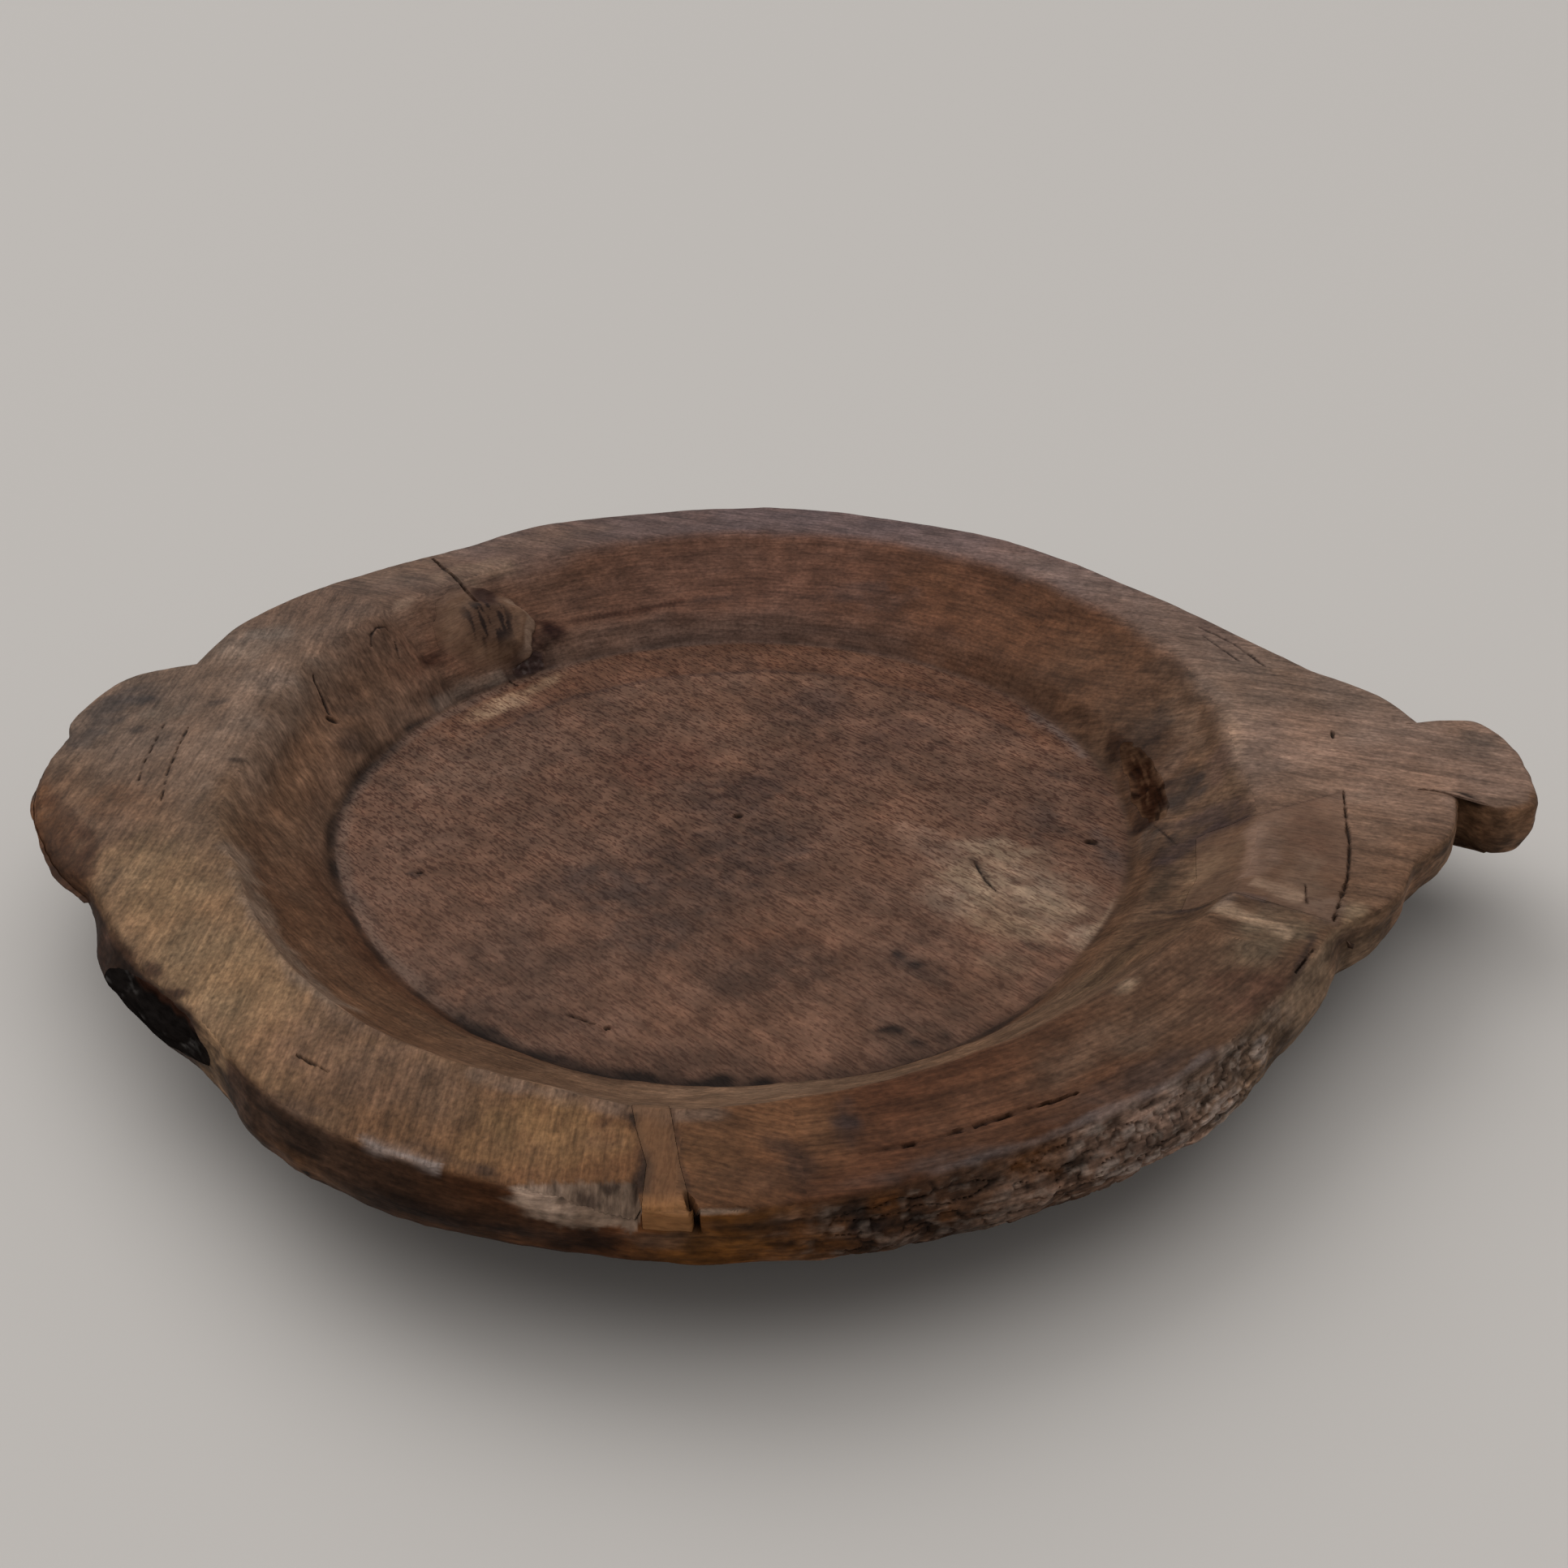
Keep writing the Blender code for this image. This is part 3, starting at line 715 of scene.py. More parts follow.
def bark_share(points, levels):
    """1 on the bark-like side at the front right, falling to 0 round it."""
    angles = np.degrees(np.arctan2(points[:, 1], points[:, 0]))
    along = ramp(angles, -90, -80) * (1 - ramp(angles, -50, -42))
    down = ramp(levels, 2.96, 3.12)
    return along * down * (1 - ramp(levels, 4.2, 4.5))


def bark_lumps(points):
    """The flakes of the bark, longer round the bowl than they are high, with narrow gaps between them."""
    places = wrapped(points)
    flakes = fractal(places, (9.0, 9.0, 3.6), 20, 4)
    gaps = 1 - ramp(np.abs(fractal(places, (6.5, 9.0, 3.0), 23, 2)), 0.02, 0.2)
    return 0.25 + 0.9 * flakes - 1.1 * gaps


def crack_share(points, line, width, broken, seed):
    """How deep in a crack a point lies, from 0 to 1."""
    wander = 0.25 * fractal(points, 6.0, seed, 2) + 0.1 * noise(points, 1.6, seed + 1)
    distance, along = line_place(points, line)
    half = width * (0.4 + 1.2 * np.sqrt(along * (1 - along))) * (1 + 0.4 * noise(points, 4.0, seed + 3))
    share = 1 - ramp(np.abs(distance + wander), half * 0.3, half)
    gaps = ramp(noise(points, 3.2, seed + 2), -0.15 - broken * 0.1, 0.35)
    return share * (1 - broken * gaps)


def cracks_share(points, levels):
    """How deep in any crack the points lie, from 0 to 1 and in millimetres."""
    total = np.zeros(len(points))
    depth = np.zeros(len(points))
    for number, (line, width, deep, broken) in enumerate(CRACKS):
        near = (levels < 3.3) & in_reach(points, line, 3)
        share = crack_share(points[near], line, width, broken, 40 + 5 * number)
        total[near] = np.maximum(total[near], share)
        depth[near] = np.maximum(depth[near], share * deep)
    return total, depth


def oval_share(points, place, length, width, degrees):
    """Plan distance from a place in units of an oval's half sizes."""
    turned = math.radians(degrees)
    x, y = points[:, 0] - place[0], points[:, 1] - place[1]
    along = x * math.cos(turned) + y * math.sin(turned)
    across = y * math.cos(turned) - x * math.sin(turned)
    return np.hypot(along / length, across / width)


def holes_share(points, levels):
    """How deep in any hole the points lie, from 0 to 1 and in millimetres."""
    total = np.zeros(len(points))
    depth = np.zeros(len(points))
    for place, length, width, degrees, deep in HOLES:
        share = 1 - ramp(oval_share(points, place, length, width, degrees), 0.55, 1.05)
        share = np.where(levels < 3.4, share, 0)
        total = np.maximum(total, share)
        depth = np.maximum(depth, share * deep)
    return total, depth


def scoops_depth(points, levels):
    """How far the scooped-out hollows go in."""
    depth = np.zeros(len(points))
    for place, half_sizes, deep in SCOOPS:
        away = np.linalg.norm((points - place) / half_sizes, axis=1)
        depth = np.maximum(depth, deep * (1 - ramp(away, 0.3, 1.0)))
    return depth * (levels > 1.0)


def over_chip(points):
    """How far above the chip's flat face the points are, less towards its ends."""
    start, full, fall, end = CHIP_ENDS
    ends = 1 - ramp(points[:, 0], start, full) * (1 - ramp(points[:, 0], fall, end))
    return (points - CHIP_PLACE) @ np.array(CHIP_FACING) - 6 * ends


def chip_depth(points):
    return np.maximum(0, over_chip(points))


def relief(skin):
    """How far the carved surface stands out from the plain one, in the direction of its normals."""
    points, levels = skin.points, skin.levels
    floor = 1 - ramp(levels, 0.96, 1.05)
    wall = ramp(levels, 1.0, 1.1) * (1 - ramp(levels, 1.9, 2.05))
    rim = ramp(levels, 1.95, 2.1) * (1 - ramp(levels, 2.95, 3.05))
    side = ramp(levels, 2.95, 3.05) * (1 - ramp(levels, 4.4, 5.0))
    upper = np.clip((levels - WALL_BREAK) / (2 - WALL_BREAK), 0, 1)
    out = -WALL_HOLLOW * np.sin(np.pi * upper) * wall
    out += floor * (0.30 * fractal(points, 34.0, 11) + 0.10 * fractal(points, 5.0, 12))
    out += wall * (0.6 * fractal(points, 22.0, 13, 2) + 0.20 * fractal(points, 6.0, 14))
    out += rim * (-0.45 + 0.34 * fractal(points, 26.0, 15) + 0.08 * fractal(points, 4.0, 16))
    out += side * (-0.6 + 0.6 * fractal(points, 14.0, 17) + 0.25 * fractal(wrapped(points), (9, 9, 4), 18))
    out += bark_share(points, levels) * (-0.9 + 0.8 * bark_lumps(points))
    out -= scoops_depth(points, levels)
    out -= (levels < UNDER) * chip_depth(points) / np.maximum(skin.normals @ np.array(CHIP_FACING), 0.4)
    out -= cracks_share(points, levels)[1] + holes_share(points, levels)[1]
    return out


# Colours of the bowl's wood, as (degrees round, ordinary colour)
# The greyer colours from 12 to 90 degrees, along the back of the rim, are partly a painted sheen.
RIM_COLOURS = [
    (-180, (112, 90, 75)), (-165, (107, 83, 65)), (-138, (126, 98, 72)), (-115, (103, 77, 56)),
    (-97, (103, 71, 47)), (-80, (78, 48, 31)), (-63, (80, 53, 37)), (-47, (90, 66, 50)),
    (-33, (92, 67, 50)), (-20, (108, 83, 67)), (-7, (132, 106, 91)), (12, (113, 92, 79)),
    (45, (109, 87, 79)), (90, (96, 78, 75)), (130, (103, 80, 68)), (160, (104, 83, 69)),
]
UPPER_WALL_COLOURS = [
    (0, (95, 71, 54)), (-35, (90, 67, 50)), (-70, (96, 73, 56)), (-95, (104, 80, 62)), (-120, (90, 64, 46)),
    (-155, (90, 64, 47)), (180, (111, 83, 64)), (150, (107, 79, 62)), (120, (99, 70, 55)),
    (90, (102, 71, 57)),
    (45, (96, 63, 44)),
]
LOWER_WALL_COLOURS = [
    (0, (90, 65, 48)), (-90, (82, 57, 41)), (-150, (84, 57, 41)), (180, (102, 77, 61)),
    (135, (104, 80, 66)),
    (90, (106, 82, 71)), (45, (93, 66, 51)),
]
SIDE_COLOURS = [
    (-180, (94, 76, 62)), (-168, (82, 54, 36)), (-150, (54, 36, 26)), (-135, (44, 31, 24)),
    (-122, (70, 50, 38)),
    (-112, (60, 42, 31)), (-105, (58, 36, 22)), (-96, (76, 45, 25)), (-91, (94, 58, 29)),
    (-87.5, (114, 71, 31)),
    (-83, (76, 48, 27)), (-75, (68, 45, 31)), (-69, (84, 61, 47)), (-61, (136, 108, 92)),
    (-52, (108, 86, 71)), (-38, (122, 98, 77)),
    (-26, (106, 80, 61)), (-16, (120, 91, 69)), (-8, (104, 75, 54)), (40, (90, 72, 60)),
    (120, (90, 72, 60)),
]
FLOOR_COLOUR = (104, 76, 61)
UNDER_COLOUR = (70, 52, 41)
# Near-black for the cracks and holes, partly painted shade inside them.
CRACK_COLOUR = (26, 18, 15)

# The parts of the section that a stain can lie on, as the levels where they begin and end
ZONES = {
    "floor": (-1.0, 1.0), "wall": (1.03, 1.95), "rim": (1.92, 3.03), "inside": (1.03, 3.03),
    "lip": (2.93, 3.05), "bevel": (2.945, 3.9), "foot": (0.93, 1.1),
}

# Stains in plan, as (zone, x, y, half length, half width, degrees turned, colour, strength)
FLOOR_STAINS = [
    ("floor", -110, 43, 34, 30, 0, (106, 82, 68), 0.6),
    ("floor", -31, 39, 28, 22, 30, (94, 62, 49), 0.6),
    ("floor", -66, 39, 32, 13, -38, (118, 88, 72), 0.65),
    ("floor", 16, -83, 20, 10, 0, (98, 66, 50), 0.5),
    ("floor", 40, 40, 40, 24, 40, (86, 60, 49), 0.5),
    ("floor", 2, 14, 25, 19, 20, (62, 47, 42), 0.65),
    ("floor", -3, -31, 42, 28, 25, (64, 49, 43), 0.7),
    ("floor", -48, -48, 22, 18, 0, (64, 51, 46), 0.65),
    ("floor", -26, -73, 26, 20, 0, (66, 52, 46), 0.65),
    ("floor", 17, -98, 30, 18, 10, (66, 50, 42), 0.65),
    ("floor", -70, -92, 26, 14, -40, (80, 60, 49), 0.5),
    ("floor", 32, 87, 26, 20, 0, (72, 53, 46), 0.6),
    ("floor", 70, 62, 26, 14, -40, (74, 55, 48), 0.5),
    ("floor", 118, -11, 20, 9, 80, (64, 53, 48), 0.5),
    ("floor", 74, -21, 18, 11, -40, (132, 104, 88), 0.75),
    ("floor", 76, -60, 14, 8, -40, (128, 103, 86), 0.7),
    ("floor", 94, -96, 10, 7, -40, (122, 98, 80), 0.65),
    ("floor", -63, -118, 16, 9, -30, (76, 57, 47), 0.6),
    ("floor", 100, -54, 36, 26, -60, (134, 112, 94), 0.78),
    ("floor", 98, -27, 16, 7, -20, (148, 125, 104), 0.9),
    ("floor", 88, -52, 18, 8, -60, (136, 113, 92), 0.7),
    ("floor", 108, -60, 22, 7, -35, (140, 117, 96), 0.65),
    ("floor", 98, -76, 16, 9, -40, (134, 111, 90), 0.65),
    ("floor", -88, -112, 30, 9, -45, (66, 51, 43), 0.55),
    ("floor", -20, -146, 50, 9, -4, (62, 45, 36), 0.6),
    ("floor", 103, -87, 5, 4, 0, (52, 41, 36), 0.7),
    ("floor", 90, -40, 14, 2, -78, (52, 40, 34), 0.6),
    ("floor", 100, -66, 14, 2, -40, (78, 60, 48), 0.6),
    ("floor", 134, 60, 28, 5, -62, (98, 85, 79), 0.8),
    ("floor", 138, -30, 20, 5, 100, (82, 72, 68), 0.5),
    ("floor", 64, -98, 16, 9, -50, (70, 55, 47), 0.6),
    ("floor", 57, -91, 4, 2.6, -50, (36, 29, 27), 0.85),
    ("floor", 64, -97, 5, 3, -20, (34, 28, 26), 0.85),
    ("floor", 72, -101, 4, 2, -60, (40, 31, 28), 0.8),
    ("floor", 58, -134, 14, 8, 10, (66, 50, 40), 0.6),
    ("floor", 53, -131, 5, 2.4, 0, (34, 26, 22), 0.8),
    ("floor", 61, -138, 5, 3, 20, (32, 25, 22), 0.8),
    ("floor", 69, -134, 4, 2.4, 60, (40, 30, 25), 0.75),
    ("floor", 119, -82, 7, 4, 60, (142, 118, 100), 0.85),
    ("floor", 84, -112, 18, 8, 45, (84, 64, 52), 0.6),
    ("floor", -101, 92, 20, 7, 50, (158, 128, 102), 0.9),
    ("floor", -84, 113, 12, 4, 47, (144, 116, 92), 0.8),
    ("floor", -113, -38, 4, 3, 0, (42, 32, 30), 0.7),
]
WALL_STAINS = [
    ("wall", -130, 108, 24, 15, 40, (98, 66, 50), 0.55),
    ("wall", -130, 105, 8, 4.5, 60, (48, 23, 13), 0.85),
    ("wall", -126, 94, 8, 5, 40, (64, 46, 36), 0.6),
    ("wall", -92, 122, 13, 7, 40, (58, 45, 42), 0.8),
    ("wall", -90, 131, 9, 6, 35, (46, 24, 16), 0.85),
    ("wall", -82, 138, 6, 4, 20, (32, 11, 9), 0.9),
    ("inside", -118, 158, 22, 9, 32, (124, 100, 83), 0.8),
    ("inside", -144.5, 124, 9, 2.8, 55, (134, 110, 94), 0.85),
    ("inside", -161, 103, 8, 3, 55, (124, 99, 82), 0.6),
    ("inside", -150, 100, 22, 10, 55, (96, 70, 55), 0.5),
    ("wall", -158, 62, 12, 6, 70, (58, 46, 40), 0.5),
    ("wall", -154, 44, 9, 7, 70, (56, 46, 42), 0.55),
    ("wall", 30, 172, 40, 9, 0, (98, 66, 52), 0.5),
    ("wall", 98, 146, 34, 12, -40, (100, 66, 46), 0.55),
    ("wall", 60, 162, 24, 7, -20, (78, 60, 54), 0.5),
    ("inside", -89, 176, 12, 7, 25, (84, 65, 57), 0.6),
    ("wall", 173, 55, 14, 7, -70, (108, 82, 65), 0.65),
    ("wall", 146, 92, 26, 14, -60, (92, 64, 46), 0.5),
    ("wall", 158, 62, 20, 12, -60, (86, 62, 47), 0.5),
    ("wall", 165, 34, 9, 8, 0, (70, 60, 54), 0.5),
    ("wall", 174, 22, 24, 6, 90, (118, 92, 74), 0.55),
    ("wall", 166, -14, 13, 7, 100, (58, 48, 43), 0.85),
    ("wall", 166, 7, 8, 4.5, 80, (128, 102, 85), 0.8),
    ("wall", 157.5, 10, 34, 13, 88, (68, 46, 33), 0.75),
    ("wall", 153, 35, 12, 5, 100, (48, 29, 18), 0.9),
    ("wall", 160.5, 24, 9, 5, 95, (44, 30, 22), 0.85),
    ("wall", 154, -18, 10, 4, 90, (38, 21, 14), 0.9),
    ("wall", 178, -16, 14, 6, 80, (84, 62, 54), 0.5),
    ("wall", 170, -42, 22, 6, -45, (66, 51, 48), 0.7),
    ("wall", 151, -34, 12, 5, 80, (78, 64, 55), 0.75),
    ("wall", 152, -54, 13, 5, 75, (52, 40, 33), 0.85),
    ("wall", 160, -43, 9, 6, 70, (58, 46, 40), 0.75),
    ("wall", 96, 120, 22, 5, -40, (112, 77, 58), 0.7),
    ("wall", 147, -74, 8, 4, 70, (56, 43, 32), 0.75),
    ("wall", 160, -70, 11, 6, 60, (116, 92, 70), 0.75),
    ("wall", 160, -84, 18, 8, 60, (100, 78, 58), 0.55),
    ("wall", 145, -104, 30, 5, 50, (66, 46, 34), 0.6),
    ("wall", 120, -126, 26, 6, 44, (88, 69, 50), 0.5),
    ("wall", -4, -165, 34, 5, 0, (44, 31, 24), 0.6),
]
RIM_STAINS = [
    ("rim", -228, 30, 30, 17, 75, (94, 77, 65), 0.5),
    ("rim", -233, 39, 13, 9, 60, (64, 56, 53), 0.65),
    ("rim", -239, 24, 12, 9, 90, (62, 55, 52), 0.65),
    ("rim", -241, 5, 12, 7, 90, (68, 60, 56), 0.6),
    ("rim", -222, 9.5, 5, 4, 0, (50, 43, 41), 0.7),
    ("rim", -198.5, 31.6, 6, 3, 30, (46, 39, 38), 0.7),
    ("rim", -227, 34, 6, 4, 0, (54, 47, 45), 0.65),
    ("rim", -210, -44, 18, 15, 0, (112, 80, 58), 0.5),
    ("rim", -236, -30, 18, 9, -70, (84, 62, 47), 0.6),
    ("rim", -188, -8, 36, 12, 88, (128, 105, 89), 0.7),
    ("rim", -187, 52, 30, 13, 72, (126, 104, 89), 0.6),
    ("rim", -180, -10, 4, 2, 30, (50, 40, 36), 0.65),
    ("rim", -170, -45, 5, 2, 100, (50, 40, 36), 0.6),
    ("rim", -182, -92, 36, 15, -58, (134, 108, 80), 0.6),
    ("rim", -150, -143, 36, 15, -45, (134, 107, 79), 0.6),
    ("rim", -120, -182, 18, 9, -40, (92, 70, 53), 0.7),
    ("rim", -196, -112, 26, 6, -60, (108, 82, 58), 0.5),
    ("rim", -93, -166, 28, 8, -28, (116, 92, 77), 0.65),
    ("rim", -98, -182, 36, 17, -35, (110, 84, 67), 0.65),
    ("rim", -82, -198, 22, 11, -20, (98, 74, 56), 0.5),
    ("rim", -42, -212, 26, 12, -16, (134, 100, 66), 0.65),
    ("rim", -52, -222, 20, 7, -12, (128, 95, 64), 0.6),
    ("rim", -112, -202, 12, 5, -30, (76, 58, 47), 0.65),
    ("rim", 12, -212, 22, 13, -5, (104, 71, 48), 0.55),
    ("rim", 11, -233, 18, 6, 0, (80, 55, 39), 0.6),
    ("rim", 20, -225, 11, 5, -60, (54, 38, 30), 0.7),
    ("rim", 35, -211, 9, 4.5, 80, (46, 39, 39), 0.75),
    ("rim", 58, -228, 26, 4, 14, (64, 53, 48), 0.6),
    ("rim", 75, -206, 34, 8, 22, (92, 62, 45), 0.5),
    ("rim", 108, -182, 30, 8, 32, (106, 82, 65), 0.5),
    ("rim", 112, -198, 30, 6, 32, (70, 56, 50), 0.55),
    ("rim", 119, -155, 6, 3, 40, (150, 124, 101), 0.8),
    ("rim", 136, -150, 16, 9, 40, (92, 66, 50), 0.5),
    ("rim", 155, -157, 18, 10, 50, (72, 46, 35), 0.65),
    ("rim", 166, -130, 20, 12, 45, (100, 85, 67), 0.55),
    ("rim", 176, -112, 14, 8, 60, (94, 72, 58), 0.5),
    ("rim", 196, -74, 24, 10, 75, (92, 64, 50), 0.55),
    ("rim", 178, -78, 24, 6, 70, (122, 98, 83), 0.55),
    ("rim", 186, -96, 16, 7, 70, (108, 88, 72), 0.5),
    ("rim", 235, 5, 30, 11, 3, (128, 102, 87), 0.55),
    ("rim", 226, -24, 26, 10, 8, (110, 87, 74), 0.5),
    ("rim", 272, -18, 16, 18, 0, (102, 82, 70), 0.65),
    ("rim", 276, -12, 8, 9, 0, (80, 69, 62), 0.65),
    ("rim", 186, -4, 20, 3.4, 88, (146, 118, 98), 0.65),
    ("rim", 196, 8, 6, 2, 60, (146, 119, 100), 0.7),
    ("rim", 206, 36, 24, 10, 100, (106, 88, 78), 0.5),
    # Grey stains along the back of the rim: the wood's colour, and partly a painted sheen.
    ("rim", 150, 140, 40, 10, -48, (112, 93, 84), 0.5),
    ("rim", 60, 212, 50, 8, -14, (94, 78, 76), 0.5),
    ("rim", -90, 195, 34, 10, 22, (108, 86, 73), 0.5),
    ("rim", -150, 160, 30, 12, 40, (112, 90, 75), 0.5),
    ("rim", 195, -119, 6, 4.5, 40, (136, 112, 88), 0.85),
    ("rim", -28.5, -211, 4, 2.4, 30, (62, 38, 28), 0.8),
    ("rim", -29, -217, 7, 5, 0, (88, 62, 44), 0.7),
    # Painted shade: near-black in the crevice where the knob meets the lug.
    ("rim", 255, -49.5, 5, 2.6, -50, (34, 25, 20), 0.9),
    ("rim", 266, -55, 9, 4.5, -8, (72, 55, 43), 0.75),
    ("rim", -197, 83, 20, 14, 60, (130, 111, 97), 0.7),
    ("rim", -217, 22, 10, 8, 0, (118, 100, 86), 0.6),
    ("rim", 216, -50, 9, 6, 0, (98, 81, 70), 0.6),
    ("rim", 198, 2, 10, 7, 80, (104, 84, 73), 0.6),
    ("rim", -207, -68, 10, 8, -60, (84, 64, 50), 0.85),
    ("rim", 193, -21, 12, 7, 80, (98, 79, 68), 0.6),
    ("rim", 187, -115, 8, 6, 40, (118, 95, 80), 0.7),
    ("rim", 157, -112, 6, 3, 60, (116, 94, 81), 0.75),
]
EDGE_STAINS = [
    ("bevel", -232, -62, 52, 30, -61, (84, 55, 35), 0.95),
    ("bevel", -222, -84, 24, 16, -61, (62, 41, 29), 0.75),
    ("bevel", -242, -42, 14, 9, -61, (98, 66, 43), 0.6),
    ("bevel", 271, -56, 15, 9, 10, (124, 90, 66), 0.75),
    ("bevel", 265, -59, 5, 4, 0, (80, 58, 43), 0.7),
    ("bevel", -143, -172, 13, 5, -50, (126, 98, 72), 0.85),
    ("bevel", 163, -165, 8, 5, 48, (74, 55, 42), 0.7),
    ("bevel", 15, -243, 9, 4, 0, (52, 35, 25), 0.7),
    ("bevel", -226, -72, 20, 12, -61, (64, 43, 30), 0.7),
    ("bevel", 279, -53, 5, 4, 30, (96, 68, 48), 0.7),
    # Painted shade: near-black in the crevice where the knob meets the lug, on the rim's edge.
    ("lip", 256, -51, 6, 3.4, -48, (30, 20, 15), 0.95),
]

# Stains on the outside, as (degrees round, height, half degrees, half height, colour, strength)
SIDE_STAINS = [
    (-118, 44, 5, 5, (98, 66, 42), 0.6),
    (-124, 47, 4, 5, (60, 44, 35), 0.6),
    (-103, 46, 6, 5, (70, 46, 31), 0.6),
    (-108, 44, 7, 4, (24, 18, 16), 0.7),
    (-98, 44, 5, 4, (24, 18, 15), 0.6),
    (-92, 47, 4, 3, (78, 66, 58), 0.5),
    (-88.5, 46, 3.5, 4.5, (98, 61, 24), 0.75),
    (-80.5, 48, 1.6, 3, (26, 20, 18), 0.8),
    (-86, 42, 4, 4, (116, 70, 28), 0.6),
    (-82.5, 42, 2.5, 4, (30, 19, 13), 0.7),
    (-73, 42, 5, 4, (38, 25, 17), 0.7),
    (-85, 52.5, 5, 2, (60, 46, 38), 0.6),
    (-165, 46, 10, 9, (88, 60, 42), 0.6),
    (-173, 50, 5, 6, (84, 70, 61), 0.5),
    (-150, 46, 6, 8, (46, 32, 26), 0.6),
    (-35.5, 50, 2.2, 5, (72, 49, 34), 0.7),
    (-33, 53, 2, 3, (48, 34, 28), 0.7),
]
WORM_HOLES = [(-121.5, 41.0), (-123.0, 39.0), (-124.6, 42.0), (-119.5, 43.0), (-117.5, 40.0)]

# Lines of colour, as (zone, places in plan, half width, colour, strength)
PAINTED_LINES = [
    ("wall", [(-93.0, 139.0), (-74.3, 145.2), (-55.5, 153.2), (-22.1, 164.9)], 1.3, (54, 29, 20), 0.75),
    ("inside", [(-127, 133), (-123, 137), (-119.5, 139.8)], 1.2, (66, 36, 24), 0.8),
    ("wall", [(-22.1, 164.9), (20, 168), (60, 158)], 1.6, (66, 48, 42), 0.5),
    ("wall", [(-138, 66), (-126, 83), (-113, 100), (-99, 114), (-85, 124)], 1.3, (46, 38, 35), 0.8),
    ("wall", [(-129, 84), (-114, 103), (-101, 115)], 2.0, (112, 95, 84), 0.8),
    # Pale bands along the inner edge of the rim at the front left and the front: paler wood, and partly a
    # painted highlight on that edge.
    ("inside", [(-166, -58), (-157, -84), (-146, -108), (-133, -128), (-119, -146), (-107, -159)],
     5.5, (122, 101, 85), 0.85),
    ("inside", [(-70, -188), (-40, -200), (-14, -208), (6, -207)], 4.0, (116, 95, 81), 0.6),
    ("wall", [(-99, 124), (-93, 135), (-92, 140)], 1.6, (60, 36, 26), 0.6),
    ("wall", [(150.0, -57.0), (157.9, -51.5), (167.4, -50.1), (173.1, -53.8), (182.1, -59.9)],
     4.6, (60, 46, 43), 0.8),
    ("inside", [(155.3, -107.0), (147.5, -97.5), (140.1, -88.4)], 1.8, (46, 35, 31), 0.75),
    ("inside", [(151.5, -110.3), (142.0, -101.0), (131.6, -93.4)], 2.6, (62, 44, 33), 0.7),
    ("inside", [(158.2, -104.1), (171.0, -112.0)], 1.4, (72, 62, 64), 0.6),
    ("rim", [(-21.8, -199.0), (-21.6, -204.4)], 1.6, (78, 60, 48), 0.5),
    ("rim", [(-21.6, -206.0), (-19.9, -213.0), (-16.3, -226.4), (-16.6, -238.2)], 2.8, (44, 32, 26), 0.9),
    ("rim", [(-11.8, -201.7), (-7.6, -226.5), (-4.9, -238.1)], 1.3, (64, 45, 34), 0.65),
    ("rim", [(182.1, -59.9), (214.2, -45.7)], 1.2, (78, 60, 51), 0.5),
    ("rim", [(158.2, -104.1), (188.3, -123.7)], 1.2, (74, 58, 48), 0.6),
    ("rim", [(168.0, -100.5), (174.0, -105.0), (183.0, -112.0)], 3.2, (152, 126, 105), 0.75),
    ("inside", [(153.0, -111.5), (162.0, -119.5), (175.0, -131.0)], 3.2, (148, 123, 101), 0.75),
    ("inside", [(179.0, -64.0), (176.5, -75.0), (172.0, -86.0), (167.0, -98.0)], 3.6, (132, 106, 90), 0.75),
    ("rim", [(181.0, -129.0), (174.0, -143.0), (166.0, -157.0)], 1.6, (40, 31, 28), 0.7),
    # Painted highlight: a pale grey line along the rounded outer edge of the rim at the front right.
    ("lip", [(141, -182), (121, -199), (87, -218), (53, -232)], 1.8, (106, 95, 92), 0.6),
    ("rim", [(100, -162), (60, -184), (20, -198)], 1.6, (116, 92, 74), 0.5),
    ("rim", [(-80, -216), (-66, -224), (-54, -229)], 2.0, (60, 46, 38), 0.7),
    # Painted highlight: a pale grey line along the rounded outer edge of the rim at the front left.
    ("lip", [(-92, -214), (-80, -221), (-68, -227)], 3.0, (132, 119, 113), 0.85),
    ("rim", [(-197, -116), (-182, -131), (-167, -144), (-156, -156)], 3.4, (60, 40, 29), 0.9),
    ("rim", [(-240, -36), (-229, -48), (-214.5, -65), (-206, -92)], 3.0, (66, 42, 29), 0.75),
    ("wall", [(136, -104), (127, -116), (119, -125), (110, -133)], 2.6, (50, 34, 24), 0.8),
    ("floor", [(-75, 64), (-92, 70), (-106, 68), (-115, 64)], 0.8, (66, 50, 44), 0.5),
    # Painted highlight: a pale line along the floor's edge at the right.
    ("floor", [(137, -60), (132, -69), (127, -77), (118, -92)], 2.4, (156, 132, 110), 0.85),
    ("floor", [(122.7, 30.6), (136, 19), (149, 6.4)], 2.0, (60, 47, 42), 0.7),
    # Painted shade: dark lines in the crease at the foot of the wall, at the front and at the left.
    ("foot", [(-89, -118), (-67, -137), (-47, -147), (-24, -154), (-2, -156), (20, -156)],
     4.2, (26, 18, 14), 0.95),
    ("foot", [(-137, 62), (-148, 25), (-150, -10), (-146, -40), (-135, -72)], 2.2, (44, 33, 27), 0.8),
]


def spread(table, angles):
    """Linear colour at each angle through a table of ordinary colours."""
    return np.maximum(by_angle([(stop, colour(*value)) for stop, value in table], angles), 0.002)


def wash(tint, share, paint, strength=1.0):
    """Lays a colour over the tint where share is 1."""
    part = np.clip(share * strength, 0, 1)[:, None]
    return tint * (1 - part) + np.asarray(paint) * part


def zone_share(levels, zone):
    """1 on a part of the section, falling to 0 round it."""
    low, high = ZONES[zone]
    return ramp(levels, low - 0.03, low + 0.03) * (1 - ramp(levels, high - 0.03, high + 0.03))


